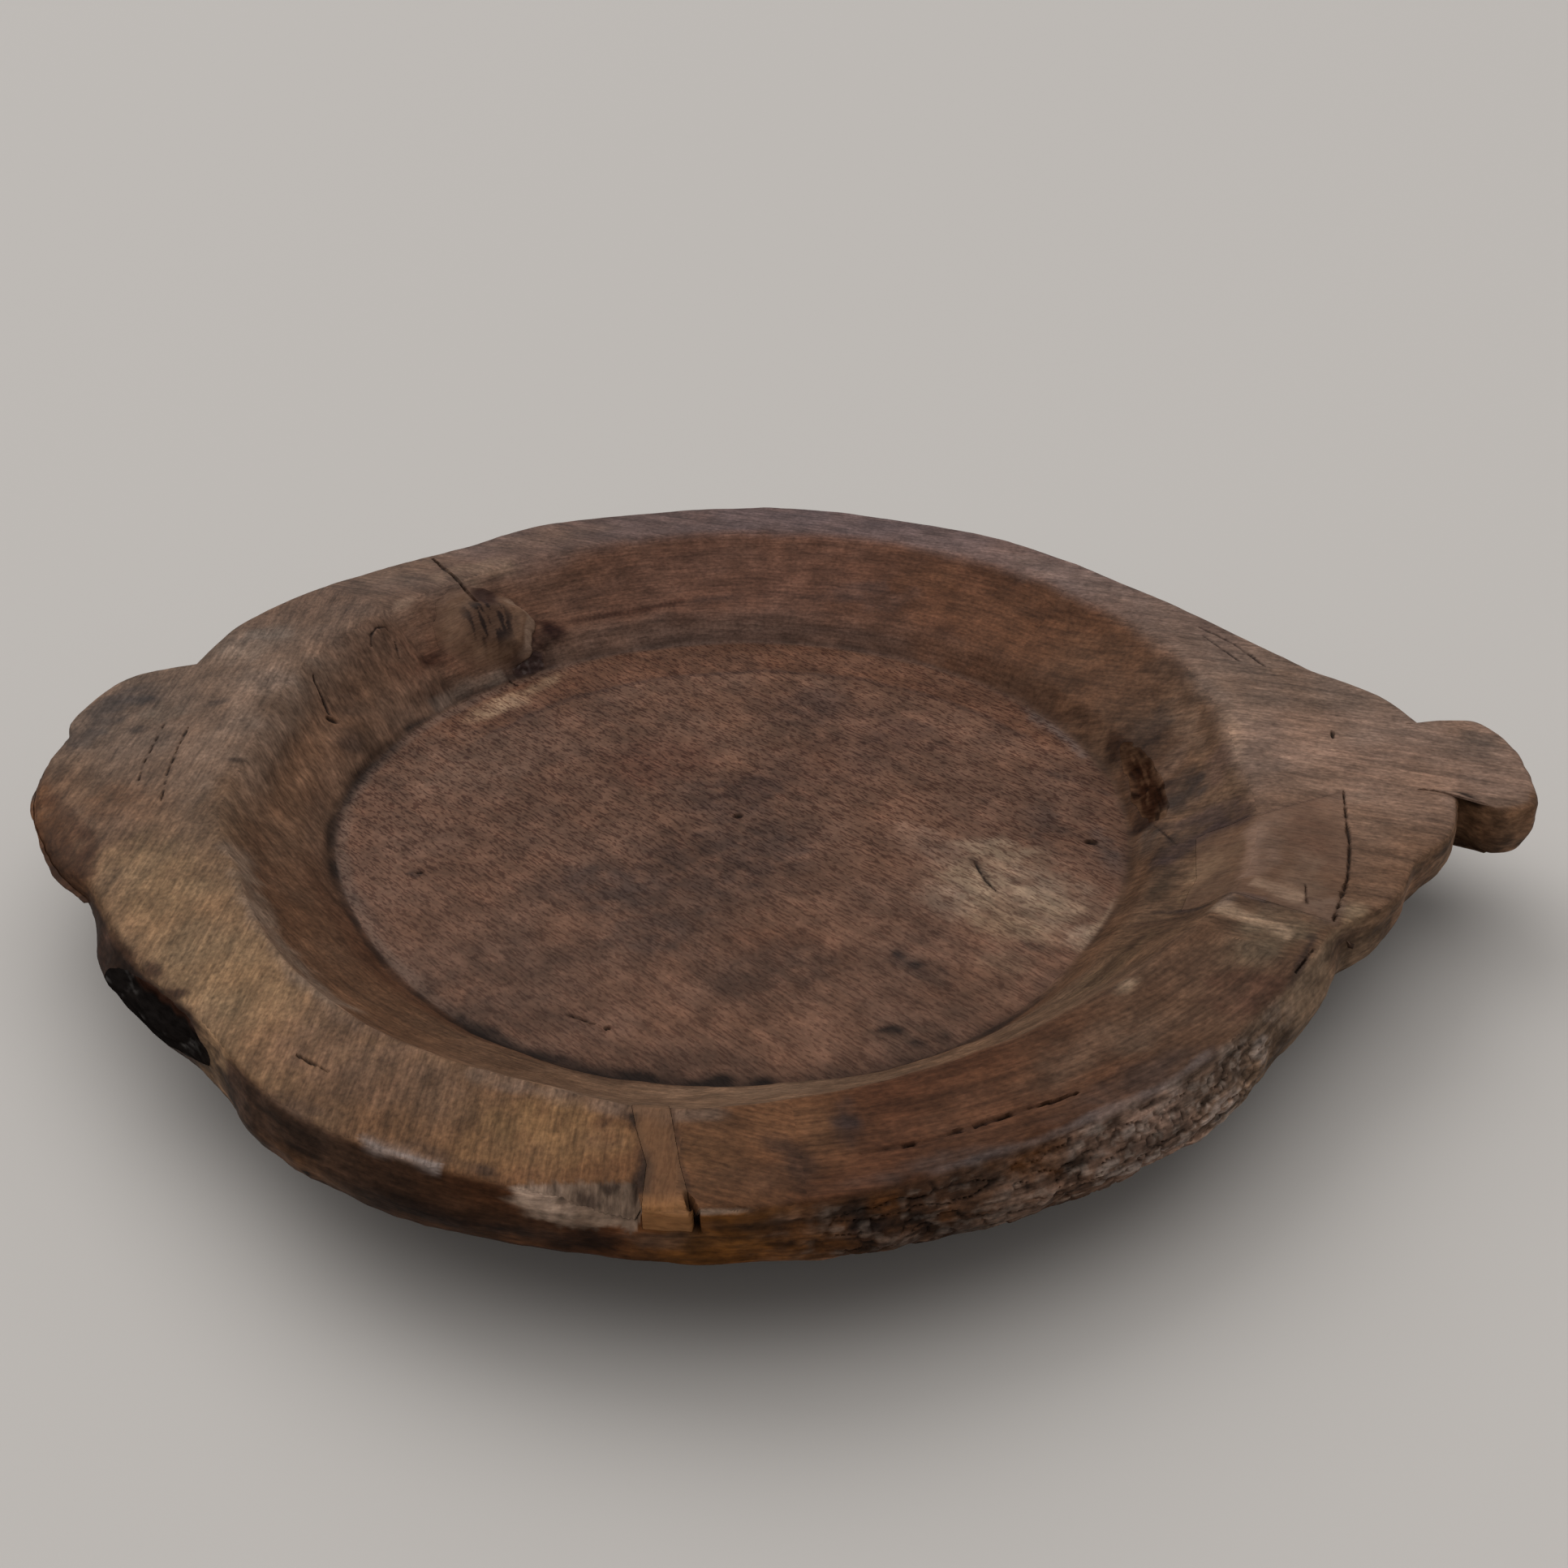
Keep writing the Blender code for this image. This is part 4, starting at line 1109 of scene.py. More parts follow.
def lay_stains(tint, skin, stains):
    """Lays soft ovals of colour with ragged edges."""
    points, levels = skin.points, skin.levels
    fray = np.stack([fractal(points, 9.0, seed) for seed in (51, 52, 53)], axis=1) * (4.0, 4.0, 0.0)
    grit = fractal(points, 4.5, 50, 2)
    for zone, x, y, length, width, degrees, paint, strength in stains:
        near = in_reach(points, [(x, y)], 1.5 * max(length, width))
        frayed = points[near] + fray[near] * min(1, width / 8)
        share = 1 - ramp(oval_share(frayed, (x, y), length, width, degrees), 0.4, 1.25)
        share = np.clip(share * (0.9 + 0.5 * grit[near]), 0, 1)
        tint[near] = wash(tint[near], share * zone_share(levels[near], zone), colour(*paint), strength)
    return tint


def lay_side_stains(tint, skin):
    """Lays ragged stains on the outside, and worm holes as near-black dots of painted shade."""
    near = (skin.levels > 2.9) & (skin.levels < 4.6)
    points = skin.points[near]
    part = tint[near]
    angles = skin.angles[near]
    down = ramp(skin.levels[near], 2.98, 3.1)
    fray = 0.45 * fractal(wrapped(points), (9.0, 9.0, 5.0), 54)
    for place, height, turn, rise, paint, strength in SIDE_STAINS:
        away = np.hypot((angles - place) / turn, (points[:, 2] - height) / rise) + fray
        part = wash(part, (1 - ramp(away, 0.4, 1.2)) * down, colour(*paint), strength)
    # Painted shade: the worm holes are only near-black dots, with no hollow carved.
    for place, height in WORM_HOLES:
        away = np.hypot((angles - place) * 4.0, points[:, 2] - height)
        part = wash(part, (1 - ramp(away, 0.8, 1.5)) * down, colour(12, 9, 8), 0.9)
    tint[near] = part
    return tint


def lay_lines(tint, skin):
    """Lays soft, uneven lines of colour."""
    for number, (zone, line, width, paint, strength) in enumerate(PAINTED_LINES):
        near = in_reach(skin.points, line, 4 * width)
        points = skin.points[near]
        distance, along = line_place(points, line)
        wander = 0.5 * width * fractal(points, 8.0, 130 + 3 * number, 2)
        uneven = 0.88 + 0.5 * noise(points, 7.0, 131 + 3 * number)
        share = (1 - ramp(np.abs(distance + wander), width * 0.3, width * 1.3)) * np.clip(uneven, 0.1, 1)
        share *= zone_share(skin.levels[near], zone) * ramp(np.minimum(along, 1 - along), 0, 0.06)
        tint[near] = wash(tint[near], share, colour(*paint), strength)
    return tint


def lay_border(tint, skin):
    """The reddish crescent along the back of the floor, and painted shade in the crease at the foot of the
    wall.
    """
    points, levels = skin.points, skin.levels
    away = np.hypot(points[:, 0] - 6, points[:, 1] + 12) + 1.5 * fractal(points, 14.0, 55, 2)
    back = ramp(points[:, 1], 20, 70) * (levels < 1.0)
    tint = wash(tint, ramp(away, 130, 135) * back, colour(98, 66, 49), 0.65)
    tint = wash(tint, (1 - ramp(np.abs(away - 132), 0.8, 2.4)) * back, colour(64, 46, 40), 0.5)
    # Painted shade: the crease at the foot of the wall is darkened, more strongly towards the front left.
    depth = 0.4 + 0.6 * ramp(-points[:, 1] - 0.7 * points[:, 0], -20, 90)
    uneven = np.clip(0.75 + 0.5 * noise(points, 12.0, 56), 0, 1)
    crease_shade = (1 - ramp(np.abs(levels - 1.03), 0.015, 0.06)) * depth * uneven
    tint = wash(tint, crease_shade, colour(34, 24, 19), 0.9)
    inward = by_angle(FLOOR_EDGE, skin.angles) - np.hypot(points[:, 0], points[:, 1])
    ring = (1 - ramp(np.abs(inward - 3.5 + noise(points, 9.0, 59)), 1.2, 3.6)) * ramp(-points[:, 0], 40, 110)
    return wash(tint, ring * (levels < 1.01), colour(106, 88, 77), 0.45)


def lay_bark(tint, skin):
    """Grey-white flakes and dark hollows on the bark, and dark mottling on the rest of the side."""
    points, levels, angles = skin.points, skin.levels, skin.angles
    rough = fractal(wrapped(points), (11.0, 9.0, 4.5), 57)
    side = ramp(levels, 2.98, 3.1)
    tint = wash(tint, ramp(rough, 0.15, 0.7) * side, tint * 0.45, 0.8)
    tint = wash(tint, ramp(-rough, 0.2, 0.8) * side, tint * 1.7, 0.6)
    bark = bark_share(points, levels)
    lumps = bark_lumps(points)
    pale = ramp(angles, -70, -62)
    tint = wash(tint, ramp(lumps, 0.25, 0.8) * bark, colour(142, 126, 116), 0.12 + 0.68 * pale)
    tint = wash(tint, ramp(-lumps, 0.0, 0.7) * bark, colour(32, 23, 18), 0.8 - 0.25 * pale)
    specks = ramp(fractal(wrapped(points), (3.2, 9.0, 1.8), 60, 2), 0.25, 0.6)
    tint = wash(tint, specks * bark, colour(150, 132, 119), 0.2 + 0.35 * pale)
    warm = ramp(fractal(points, 11.0, 58, 2), 0.1, 0.7)
    return wash(tint, warm * bark * (1 - pale), colour(96, 58, 28), 0.6)


def lay_chip(tint, skin):
    """The pale flat face of the chip, stained dark and mottled towards its right end."""
    points = skin.points
    x, low = points[:, 0], 1 - ramp(points[:, 2], 51, 55.5)
    spill = 2.2 * (1 - ramp(x, -34, -24)) + 1.2 * (1 - ramp(x, -50, -40))
    share = ramp(over_chip(points) + spill * low, 0.1, 0.7) * (skin.levels < UNDER)
    share = share * ramp(x - 13 * low, -62, -55)
    tint = wash(tint, share, colour(140, 118, 102), 0.95)
    mottle = fractal(points, (5.0, 4.0, 4.0), 61, 3)
    right = ramp(x + 4 * mottle, -43, -35)
    tint = wash(tint, share * right, colour(106, 86, 71), 0.85)
    upper = 1 - ramp(-points[:, 1], 238.5, 241)
    return wash(tint, share * right * upper * ramp(mottle, -0.15, 0.4), colour(50, 38, 32), 0.75)


def wood_tint(skin):
    """Colour of the bowl's wood at every point."""
    points, levels, angles = skin.points, skin.levels, skin.angles
    wander = angles + 5 * fractal(points, 30.0, 30, 2)
    tint = np.tile(colour(*FLOOR_COLOUR), (len(points), 1))
    soft = levels + 0.02 * fractal(points, 12.0, 31, 2)
    tint = wash(tint, ramp(levels, 0.99, 1.03), spread(LOWER_WALL_COLOURS, wander))
    tint = wash(tint, ramp(soft, 1.22, 1.38), spread(UPPER_WALL_COLOURS, wander))
    left = ramp(-points[:, 0], 50, 140) * ramp(points[:, 1], -100, -30)
    tint = wash(tint, ramp(soft, 1.9 - 0.34 * left, 2.03), spread(RIM_COLOURS, wander))
    tint = wash(tint, ramp(levels, 2.95, 3.04), spread(SIDE_COLOURS, wander))
    tint = wash(tint, ramp(soft, 3.9, 4.3), colour(*UNDER_COLOUR))
    tint = lay_border(tint, skin)
    for stains in (FLOOR_STAINS, WALL_STAINS, RIM_STAINS, EDGE_STAINS):
        tint = lay_stains(tint, skin, stains)
    tint = lay_side_stains(tint, skin)
    mottle = 0.14 * fractal(points, 24.0, 32) + 0.24 * fractal(points, 6.0, 33)
    warmth = 0.035 * fractal(points, 18.0, 34)
    tint = tint * np.exp(mottle)[:, None] * np.exp(np.stack([warmth, 0 * warmth, -warmth], axis=1))
    tint = lay_bark(tint, skin)
    tint = lay_chip(tint, skin)
    tint = lay_lines(tint, skin)
    # Cracks and holes are washed near-black, partly painted shade inside them.
    dark = np.maximum(cracks_share(points, levels)[0], holes_share(points, levels)[0])
    return wash(tint, dark, colour(*CRACK_COLOUR), 0.92)


# The direction of the grain


def grain_places(points):
    """Coordinates along and across the grain for each of the ways that it runs on the bowl."""
    around = np.radians(np.degrees(np.arctan2(points[:, 1], points[:, 0]))) * 180
    rise = np.hypot(np.hypot(points[:, 0], points[:, 1]) - FLOOR_RADIUS, points[:, 2] - FLOOR_Z)
    ways = {}
    for name, degrees in (("through", -46), ("lug", -20), ("across", 88)):
        turned = math.radians(degrees)
        along = points[:, 0] * math.cos(turned) + points[:, 1] * math.sin(turned)
        over = points[:, 1] * math.cos(turned) - points[:, 0] * math.sin(turned)
        ways[name] = np.stack([along, over, 0.2 * points[:, 2]], axis=1)
    ways["round"] = np.stack([around, rise, 0 * rise], axis=1)
    ways["side"] = np.stack([around, points[:, 2], 0.5 * np.hypot(points[:, 0], points[:, 1])], axis=1)
    return ways


def face_grain(skin):
    """Grain coordinates at the corners of every face."""
    triangles = skin.triangles
    ways = grain_places(skin.points)
    level = skin.levels[triangles].mean(axis=1)
    middle = skin.points[triangles].mean(axis=1)
    angle = np.degrees(np.arctan2(middle[:, 1], middle[:, 0]))
    rim = level > 1.98
    beside = (np.abs(angle) > 142) | (np.abs(angle) < 42)
    chosen = {
        "lug": rim,
        "across": rim & ((np.abs(angle) > 142) | (angle < -92)),
        "round": (rim & (angle > -84) & (angle < -40)) | ~(rim | (level < 1.0) | beside),
        "side": level >= 3.0,
    }
    grain = ways["through"][triangles]
    for name, faces in chosen.items():
        grain[faces] = ways[name][triangles[faces]]
    return grain


# Materials


def add_node(tree, kind, settings=None, inputs=None):
    """A new node with its settings, whose inputs are numbers or the outputs of other nodes."""
    node = tree.nodes.new(kind)
    for name, value in (settings or {}).items():
        setattr(node, name, value)
    for name, value in (inputs or {}).items():
        if isinstance(value, bpy.types.NodeSocket):
            tree.links.new(value, node.inputs[name])
        else:
            node.inputs[name].default_value = value
    return node


def blank_material(name):
    material = bpy.data.materials.new(name)
    material.use_nodes = True
    tree = material.node_tree
    return material, tree, tree.nodes["Principled BSDF"]


def attribute(tree, name, output):
    return add_node(tree, "ShaderNodeAttribute", {"attribute_name": name}).outputs[output]


def stretched_noise(tree, grain, stretch, detail):
    """Noise drawn out along the grain: stretch is lumps per millimetre along, across and in height."""
    scaled = add_node(tree, "ShaderNodeVectorMath", {"operation": "MULTIPLY"}, {0: grain, 1: stretch})
    made = add_node(
        tree, "ShaderNodeTexNoise", {"noise_dimensions": "3D"},
        {"Vector": scaled.outputs[0], "Scale": 1.0, "Detail": detail, "Roughness": 0.55},
    )
    return made.outputs[0]


def map_range(tree, value, start, end, low, high):
    made = add_node(
        tree, "ShaderNodeMapRange", None,
        {"Value": value, "From Min": start, "From Max": end, "To Min": low, "To Max": high},
    )
    return made.outputs[0]


def multiply(tree, first, second):
    return add_node(tree, "ShaderNodeMath", {"operation": "MULTIPLY"}, {0: first, 1: second}).outputs[0]


def subtract(tree, first, second):
    return add_node(tree, "ShaderNodeMath", {"operation": "SUBTRACT"}, {0: first, 1: second}).outputs[0]


def scale_colour(tree, paint, factor):
    made = add_node(
        tree, "ShaderNodeVectorMath", {"operation": "SCALE"}, {0: paint, "Scale": factor},
    )
    return made.outputs[0]


def warm_and_cool(tree, paint, value, strength):
    """The paint made redder where a value is high and bluer where it is low."""
    red = map_range(tree, value, 0.3, 0.7, 1 - strength, 1 + strength)
    blue = map_range(tree, value, 0.3, 0.7, 1 + strength, 1 - strength)
    scales = add_node(tree, "ShaderNodeCombineXYZ", None, {"X": red, "Y": 1.0, "Z": blue})
    made = add_node(
        tree, "ShaderNodeVectorMath", {"operation": "MULTIPLY"}, {0: paint, 1: scales.outputs[0]},
    )
    return made.outputs[0]


def swing(tree, value, strength):
    """1 where a noise is at its middle, and up or down from that by about the strength where it is not."""
    away = subtract(tree, value, 0.5)
    return add_node(
        tree, "ShaderNodeMath", {"operation": "MULTIPLY_ADD"},
        {0: multiply(tree, away, 5.0), 1: strength, 2: 1.0},
    ).outputs[0]


def wood_material(name):
    """Wood painted by its tint, with streaks and short dark pores drawn out along its grain."""
    material, tree, shader = blank_material(name)
    tint = attribute(tree, "tint", "Color")
    grain = attribute(tree, "grain", "Vector")
    pores = attribute(tree, "pores", "Fac")
    streaks = attribute(tree, "streaks", "Fac")
    broad = stretched_noise(tree, grain, (0.03, 0.22, 0.22), 3.0)
    fine = stretched_noise(tree, grain, (0.06, 0.75, 0.75), 3.0)
    short = stretched_noise(tree, grain, (0.3, 1.25, 1.25), 1.0)
    speck = stretched_noise(tree, grain, (0.5, 0.7, 0.7), 3.0)
    light = multiply(tree, swing(tree, broad, streaks), swing(tree, fine, streaks))
    light = multiply(tree, light, swing(tree, speck, multiply(tree, streaks, 1.2)))
    fleck_dark = multiply(tree, map_range(tree, short, 0.52, 0.6, 0.0, 0.6), pores)
    paint = warm_and_cool(tree, scale_colour(tree, tint, light), broad, 0.015)
    kept = subtract(tree, 1.0, fleck_dark)
    kept_red = subtract(tree, 1.0, multiply(tree, fleck_dark, 0.88))
    flecked = add_node(tree, "ShaderNodeCombineXYZ", None, {"X": kept_red, "Y": kept, "Z": kept})
    paint = add_node(
        tree, "ShaderNodeVectorMath", {"operation": "MULTIPLY"}, {0: paint, 1: flecked.outputs[0]},
    )
    tree.links.new(paint.outputs[0], shader.inputs["Base Color"])
    bump = add_node(
        tree, "ShaderNodeBump", None,
        {"Height": subtract(tree, fine, fleck_dark), "Strength": 0.4, "Distance": 0.3 * MM},
    )
    tree.links.new(bump.outputs[0], shader.inputs["Normal"])
    shader.inputs["Roughness"].default_value = 0.6
    shader.inputs["Specular IOR Level"].default_value = 0.06
    return material


def pitch_material(name, roughness):
    """Hardened pitch painted by its tint, with a wrinkled skin."""
    material, tree, shader = blank_material(name)
    tint = attribute(tree, "tint", "Color")
    grain = attribute(tree, "grain", "Vector")
    wrinkles = stretched_noise(tree, grain, (0.25, 0.6, 0.6), 4.0)
    light = map_range(tree, wrinkles, 0.3, 0.7, 0.6, 1.4)
    tree.links.new(scale_colour(tree, tint, light), shader.inputs["Base Color"])
    bump = add_node(
        tree, "ShaderNodeBump", None, {"Height": wrinkles, "Strength": 0.5, "Distance": 0.6 * MM},
    )
    tree.links.new(bump.outputs[0], shader.inputs["Normal"])
    shader.inputs["Roughness"].default_value = roughness
    shader.inputs["Specular IOR Level"].default_value = 0.0
    return material


# Pieces


def in_box(points):
    """The points kept inside the box of the CAD model."""
    low, high = (np.array(corner) / MM for corner in cad_box)
    return np.clip(points, low, high)


def make_piece(name, skin, points, tint, pores, streaks, material):
    """One shown piece, made from a skin moved to points, that stands for the CAD piece of this name."""
    mesh = bpy.data.meshes.new(name + "_shown")
    triangles = skin.triangles
    mesh.vertices.add(len(points))
    mesh.vertices.foreach_set("co", (in_box(points) * MM).astype(np.float32).ravel())
    mesh.loops.add(triangles.size)
    mesh.loops.foreach_set("vertex_index", triangles.astype(np.int32).ravel())
    mesh.polygons.add(len(triangles))
    mesh.polygons.foreach_set("loop_start", np.arange(0, triangles.size, 3, dtype=np.int32))
    mesh.update(calc_edges=True)
    mesh.validate()
    paint = mesh.attributes.new("tint", "FLOAT_COLOR", "POINT")
    opaque = np.concatenate([tint, np.ones((len(tint), 1))], axis=1)
    paint.data.foreach_set("color", opaque.astype(np.float32).ravel())
    lines = mesh.attributes.new("grain", "FLOAT_VECTOR", "CORNER")
    lines.data.foreach_set("vector", face_grain(skin).astype(np.float32).ravel())
    for title, values in (("pores", pores), ("streaks", streaks)):
        strength = mesh.attributes.new(title, "FLOAT", "POINT")
        strength.data.foreach_set("value", values.astype(np.float32))
    mesh.materials.append(material)
    mesh.shade_smooth()
    mesh.set_sharp_from_angle(angle=math.radians(60))
    piece = bpy.data.objects.new(name + "_shown", mesh)
    bpy.context.scene.collection.objects.link(piece)
    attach(piece, "root")
    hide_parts(name)


def border_edges(triangles):
    """Directed edges that only one of the faces has."""
    pairs = np.concatenate([triangles[:, [0, 1]], triangles[:, [1, 2]], triangles[:, [2, 0]]])
    count = int(triangles.max()) + 1
    keys = pairs[:, 0].astype(np.int64) * count + pairs[:, 1]
    back = pairs[:, 1].astype(np.int64) * count + pairs[:, 0]
    return pairs[~np.isin(keys, back)]


def used_only(skin, triangles):
    """A skin with only these faces and the points that they use."""
    ids, found = np.unique(triangles, return_inverse=True)
    return Skin(skin.data[ids].copy(), found.reshape(-1, 3))


def walls_between(edges, lower):
    """Faces between a border and a copy of it whose points are numbered by lower."""
    a, b = edges.T
    return np.concatenate([
        np.stack([b, a, lower[a]], axis=1), np.stack([b, lower[a], lower[b]], axis=1),
    ])


def take_out(skin, distance, push):
    """Cuts a pocket in the skin. Gives the skin with its pocket, and the face cut out."""
    cut, inside = cut_along(skin, np.where(skin.levels > POCKET - 1, 50.0, distance))
    lid = cut.triangles[inside]
    edges = border_edges(lid)
    ids = np.unique(lid)
    lower = np.full(len(cut.data), -1)
    lower[ids] = len(cut.data) + np.arange(len(ids))
    bottom = cut.data[ids].copy()
    bottom[:, :3] += push
    bottom[:, 3] = POCKET
    walls = walls_between(edges, lower)[:, ::-1]
    triangles = np.concatenate([cut.triangles[~inside], lower[lid], walls])
    body = used_only(Skin(np.concatenate([cut.data, bottom]), None), triangles)
    return body, used_only(cut, lid)


def inset(skin, gap):
    """Moves the border of an open skin inwards by a gap."""
    border = np.unique(border_edges(skin.triangles))
    middle = skin.points[skin.triangles].mean(axis=1)
    pull = np.zeros((len(skin.data), 3))
    for corner in range(3):
        ids = skin.triangles[:, corner]
        for axis in range(3):
            pull[:, axis] += np.bincount(ids, middle[:, axis] - skin.points[ids, axis], len(pull))
    skin.data[border, :3] += unit(pull[border]) * gap


def thicken(skin, points, push):
    """A closed skin from an open one: its points, a copy of them pushed back, and walls between."""
    count = len(points)
    edges = border_edges(skin.triangles)
    lower = np.arange(count) + count
    triangles = np.concatenate([
        skin.triangles, lower[skin.triangles][:, ::-1], walls_between(edges, lower),
    ])
    closed = Skin(np.concatenate([skin.data, skin.data]), triangles)
    return closed, np.concatenate([points, skin.points + push])


bowl = refine(bowl_grid())
bowl.data[:, 4:7] = point_normals(bowl.points, bowl.triangles)

# Let-in pieces, as the name of each with its outline, how far its pocket goes in, and the gap round it
INLAYS = {
    "front_rim_patch": (front_patch_distance, np.array([0.0, 4.0, -6.5]), 0.14),
    "right_rim_patch": (right_patch_distance, np.array([6.0, -3.0, -8.0]), 0.2),
    "rear_wall_knot": (knot_distance, -5.0 * wall_axes(130.5, 42)[2], 0.08),
    "rear_wall_pitch": (rear_pitch_distance, -3.5 * wall_axes(127.4, 42)[2], 0.08),
    "right_wall_pitch": (right_pitch_distance, -3.5 * wall_axes(2.5, 42)[2], 0.08),
    "left_edge_pitch": (left_pitch_distance, 4.0 * wall_axes(-137.8, 0)[2], 0.08),
}

lids = {}
for inlay, (inlay_distance, inlay_push, _) in INLAYS.items():
    bowl, lids[inlay] = take_out(bowl, inlay_distance(bowl), inlay_push * 1.08)

bowl_relief = np.where(bowl.levels < POCKET - 1, relief(bowl), 0)
back_of_floor = (1 - ramp(bowl.levels, 0.98, 1.06)) * (0.5 + 0.5 * ramp(bowl.points[:, 1], -110, 10))
bowl_pores = 0.25 + 0.7 * back_of_floor
sapwood = (1 - ramp(np.abs(bowl.angles + 130), 20, 42)) * ramp(bowl.levels, 1.9, 2.05)
bowl_bark = bark_share(bowl.points, bowl.levels)
bowl_streaks = 0.14 + 0.10 * ramp(bowl.levels, 1.0, 1.1) + 0.03 * sapwood + 0.15 * bowl_bark
make_piece(
    "bowl_body", bowl, bowl.points + bowl.normals * bowl_relief[:, None], wood_tint(bowl),
    bowl_pores, bowl_streaks, wood_material("bowl_wood"),
)


def level_heap(lid, distance):
    """No rise: the piece is worn level with the wood round it."""
    return 0.0 * distance


def knot_heap(lid, distance):
    """The knot's bulge, with a steep nose towards the right and a gentle rise on its other side."""
    around, up, _ = wall_axes(KNOT_PLACE[0], 42)
    local = lid.points - polar(np.array([KNOT_PLACE[0]]), *KNOT_PLACE[1:])[0]
    across, rise = local @ around / KNOT_HALF_SIZES[0], local @ up / KNOT_HALF_SIZES[1]
    reach = 6 + 16 * np.maximum(ramp(across, -0.7, 0.6), ramp(rise, -0.1, 0.8))
    share = np.clip(-distance / reach, 0, 1)
    return 5.8 * np.sin(share * np.pi / 2) ** (1 + ramp(reach, 8, 20))


def low_heap(lid, distance):
    """A low uneven dab."""
    return 0.4 * ramp(-distance, 0, 3) * (1 + fractal(lid.points, 3.0, 72, 2))


def sunk_heap(lid, distance):
    """A filling that has sunk below the wood round it and wrinkled."""
    return -1.2 * ramp(-distance, 0, 3) + 0.5 * fractal(lid.points, 5.0, 71, 2) * ramp(-distance, 0, 2)


def patch_paint(tint, skin):
    """Orange-brown wood, orange at its outer end."""
    tint = wash(tint, np.ones(len(tint)), colour(116, 85, 61), 0.35)
    return wash(tint, ramp(-skin.points[:, 1], 236, 242), colour(138, 96, 60), 0.8)


def block_paint(tint, skin):
    return wash(tint, np.ones(len(tint)), colour(114, 86, 70), 0.25)


def knot_paint(tint, skin):
    """Brown wood with dark scratches up its middle, painted light on the steep nose, and a red-brown hollow
    at its lower left.
    """
    around, up, _ = wall_axes(KNOT_PLACE[0], 42)
    local = skin.points - polar(np.array([KNOT_PLACE[0]]), *KNOT_PLACE[1:])[0]
    across, rise = local @ around, local @ up
    inner = ramp(-knot_distance(skin), 0, 7)
    tint = wash(tint, 0.2 + 0.8 * inner, colour(114, 87, 68), 0.75)
    lines = fractal(np.stack([across + 0.25 * rise, rise, 0 * rise], axis=1), (1.7, 11.0, 9.0), 81, 2)
    middle = 1 - ramp(np.hypot((across + 2) / 13, rise / 15), 0.5, 1.15)
    tint = wash(tint, middle, colour(58, 39, 31), 0.6)
    tint = wash(tint, ramp(lines, -0.05, 0.2) * middle, colour(30, 20, 17), 0.9)
    left = 1 - ramp(np.hypot((across - 15) / 6, (rise + 9) / 9), 0.4, 1.1)
    tint = wash(tint, left, colour(80, 54, 40), 0.5)
    top = 1 - ramp(np.hypot((across + 9) / 7, (rise - 14) / 8), 0.5, 1.2)
    tint = wash(tint, top, colour(48, 30, 27), 0.85)
    # Painted light: the nose's steep right side faces away from the lamps and is painted pale, paler still
    # at its lower part.
    rim = 1 - ramp(np.abs(knot_distance(skin) + 2.2), 0.8, 3.0)
    nose = rim * ramp(-across, 5, 11) * (1 - ramp(rise, 6, 14))
    tint = wash(tint, nose, colour(138, 113, 95), 0.8)
    return wash(tint, nose * (1 - ramp(rise, -12, -2)), colour(164, 137, 118), 0.6)


def dark_pitch_and_shade_paint(tint, skin):
    """Dark grey-brown with paler specks, fading into the wood round it, and partly painted shade in the
    corner by the knot's nose.
    """
    inner = ramp(-rear_pitch_distance(skin) + fractal(skin.points, 4.0, 86, 2), -0.5, 2.5)
    tint = wash(tint, inner, colour(60, 46, 43), 0.9)
    return wash(tint, ramp(fractal(skin.points, 2.4, 87, 2), 0.35, 0.8), colour(104, 92, 88), 0.6)


def left_pitch_paint(tint, skin):
    """Black with painted grey glints for its gloss, and a red-brown border along its upper edge."""
    tint = wash(tint, np.ones(len(tint)), colour(24, 21, 20), 0.97)
    # Painted highlights: soft grey glints laid into the colour.
    glints = fractal(wrapped(skin.points), (8.0, 9.0, 3.0), 84)
    tint = wash(tint, ramp(glints, 0.35, 1.0), colour(92, 88, 85), 0.65)
    upper = skin.points[:, 2] + 1.2 * fractal(skin.points, 6.0, 82, 2)
    return wash(tint, ramp(upper, 52.5, 55), colour(54, 33, 24), 0.7)


def filler_paint(tint, skin):
    """Dark brown with paler fibres along its length."""
    inner = ramp(-right_pitch_distance(skin) + 1.2 * fractal(skin.points, 5.0, 85, 2), 0, 3.5)
    tint = wash(tint, inner, colour(44, 25, 16), 0.95)
    fibres = fractal(wrapped(skin.points), (11.0, 1.6, 1.6), 83, 2)
    tint = wash(tint, ramp(fibres, 0.2, 0.8), colour(92, 66, 48), 0.5)
    return wash(tint, ramp(-fibres, 0.2, 0.8), colour(24, 16, 13), 0.7)


def finish_inlay(name, heap, paint, material):
    """One let-in piece: its cut-out face heaped up, thickened, painted and set in its place."""
    distance, push, gap = INLAYS[name]
    lid = lids[name]
    heaped = heap(lid, distance(lid))
    inset(lid, gap)
    points = lid.points + lid.normals * (relief(lid) + heaped)[:, None]
    closed, places = thicken(lid, points, push)
    tint = paint(wood_tint(closed), closed)
    pores, streaks = np.full(len(tint), 0.3), np.full(len(tint), 0.1)
    make_piece(name, closed, places, tint, pores, streaks, material)


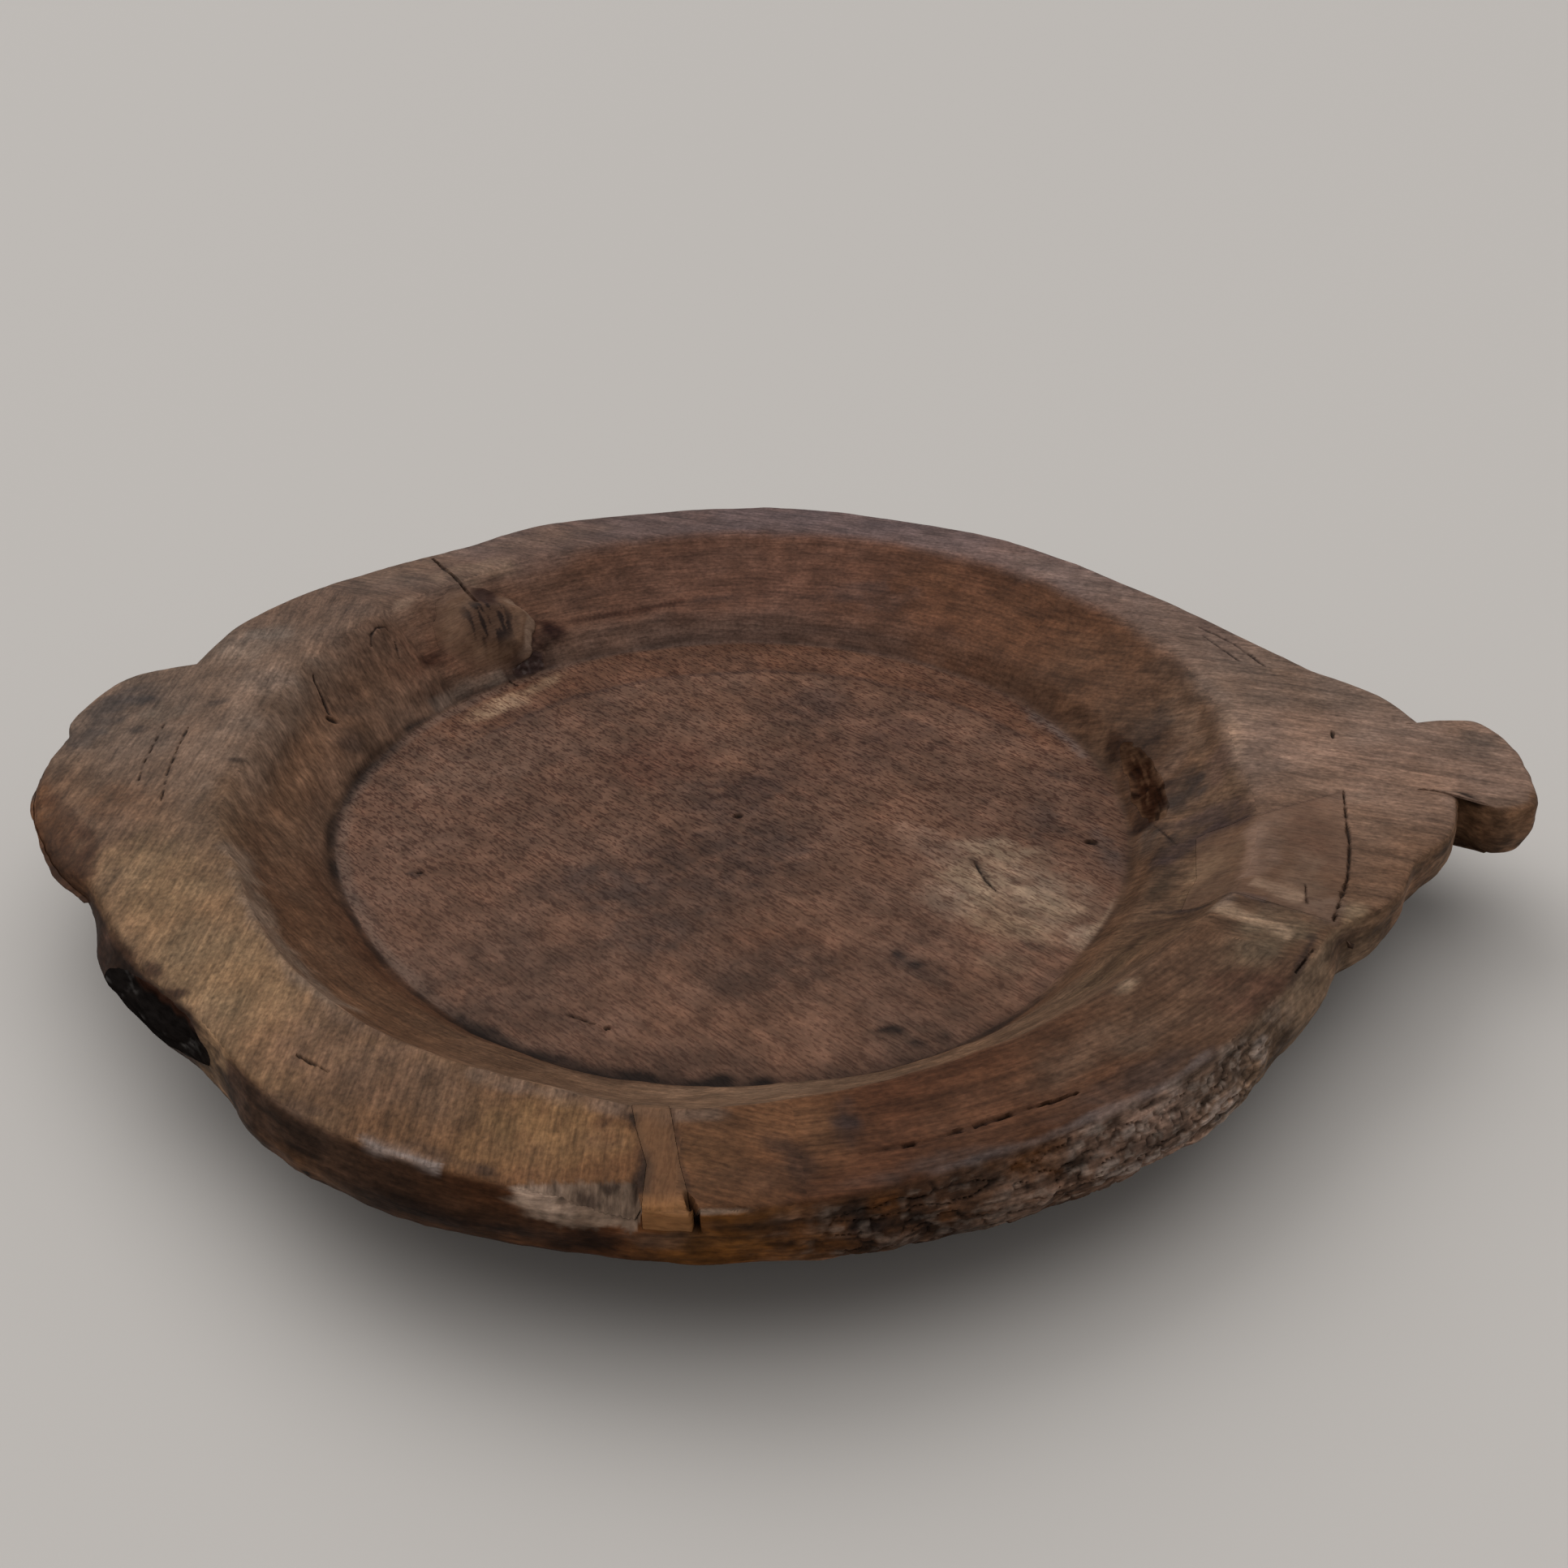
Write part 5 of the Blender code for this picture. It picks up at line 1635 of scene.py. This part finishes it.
pitch = pitch_material("pitch", 0.35)
finish_inlay("front_rim_patch", level_heap, patch_paint, wood_material("patch_wood"))
finish_inlay("right_rim_patch", level_heap, block_paint, wood_material("block_wood"))
finish_inlay("rear_wall_knot", knot_heap, knot_paint, wood_material("knot_wood"))
finish_inlay("rear_wall_pitch", low_heap, dark_pitch_and_shade_paint, pitch)
finish_inlay("right_wall_pitch", sunk_heap, filler_paint, pitch_material("fibre_pitch", 0.6))
finish_inlay("left_edge_pitch", sunk_heap, left_pitch_paint, pitch)


# Floor, light and camera


def add_floor():
    half = 8.0
    mesh = bpy.data.meshes.new("studio_floor")
    corners = [(-half, -half, 0), (half, -half, 0), (half, half, 0), (-half, half, 0)]
    mesh.from_pydata(corners, [], [(0, 1, 2, 3)])
    material, _, shader = blank_material("studio_floor")
    shader.inputs["Base Color"].default_value = (0.56, 0.53, 0.50, 1.0)
    shader.inputs["Roughness"].default_value = 0.8
    shader.inputs["Specular IOR Level"].default_value = 0.1
    mesh.materials.append(material)
    floor = bpy.data.objects.new("studio_floor", mesh)
    bpy.context.scene.collection.objects.link(floor)


def add_light(name, direction, width, strength):
    """A broad soft light from far off in a direction: width is the angle that it fills, in degrees."""
    light = bpy.data.lights.new(name, "SUN")
    light.angle = math.radians(width)
    light.energy = strength
    made = bpy.data.objects.new(name, light)
    bpy.context.scene.collection.objects.link(made)
    made.rotation_euler = Vector(direction).to_track_quat("Z", "Y").to_euler()


def add_camera():
    camera = bpy.data.cameras.new("photo_camera")
    camera.lens = 38.98
    camera.sensor_width = 36.0
    made = bpy.data.objects.new("photo_camera", camera)
    bpy.context.scene.collection.objects.link(made)
    made.matrix_world = Matrix((
        (0.99992, 0.01291, 0.0, 0.0201),
        (-0.00656, 0.50806, -0.8613, -0.5505),
        (-0.01112, 0.86122, 0.5081, 0.36015),
        (0.0, 0.0, 0.0, 1.0),
    ))
    bpy.context.scene.camera = made


def set_world(strength):
    world = bpy.data.worlds.new("studio")
    world.use_nodes = True
    background = world.node_tree.nodes["Background"]
    background.inputs["Color"].default_value = (1.0, 1.0, 1.0, 1.0)
    background.inputs["Strength"].default_value = strength
    bpy.context.scene.world = world


add_floor()
add_light("window", (-0.6, 0.9, 1.1), 50, 0.8)
add_light("overhead", (-0.1, 0.1, 1.0), 80, 1.15)
set_world(0.36)
add_camera()
bpy.context.scene.view_settings.view_transform = "Standard"
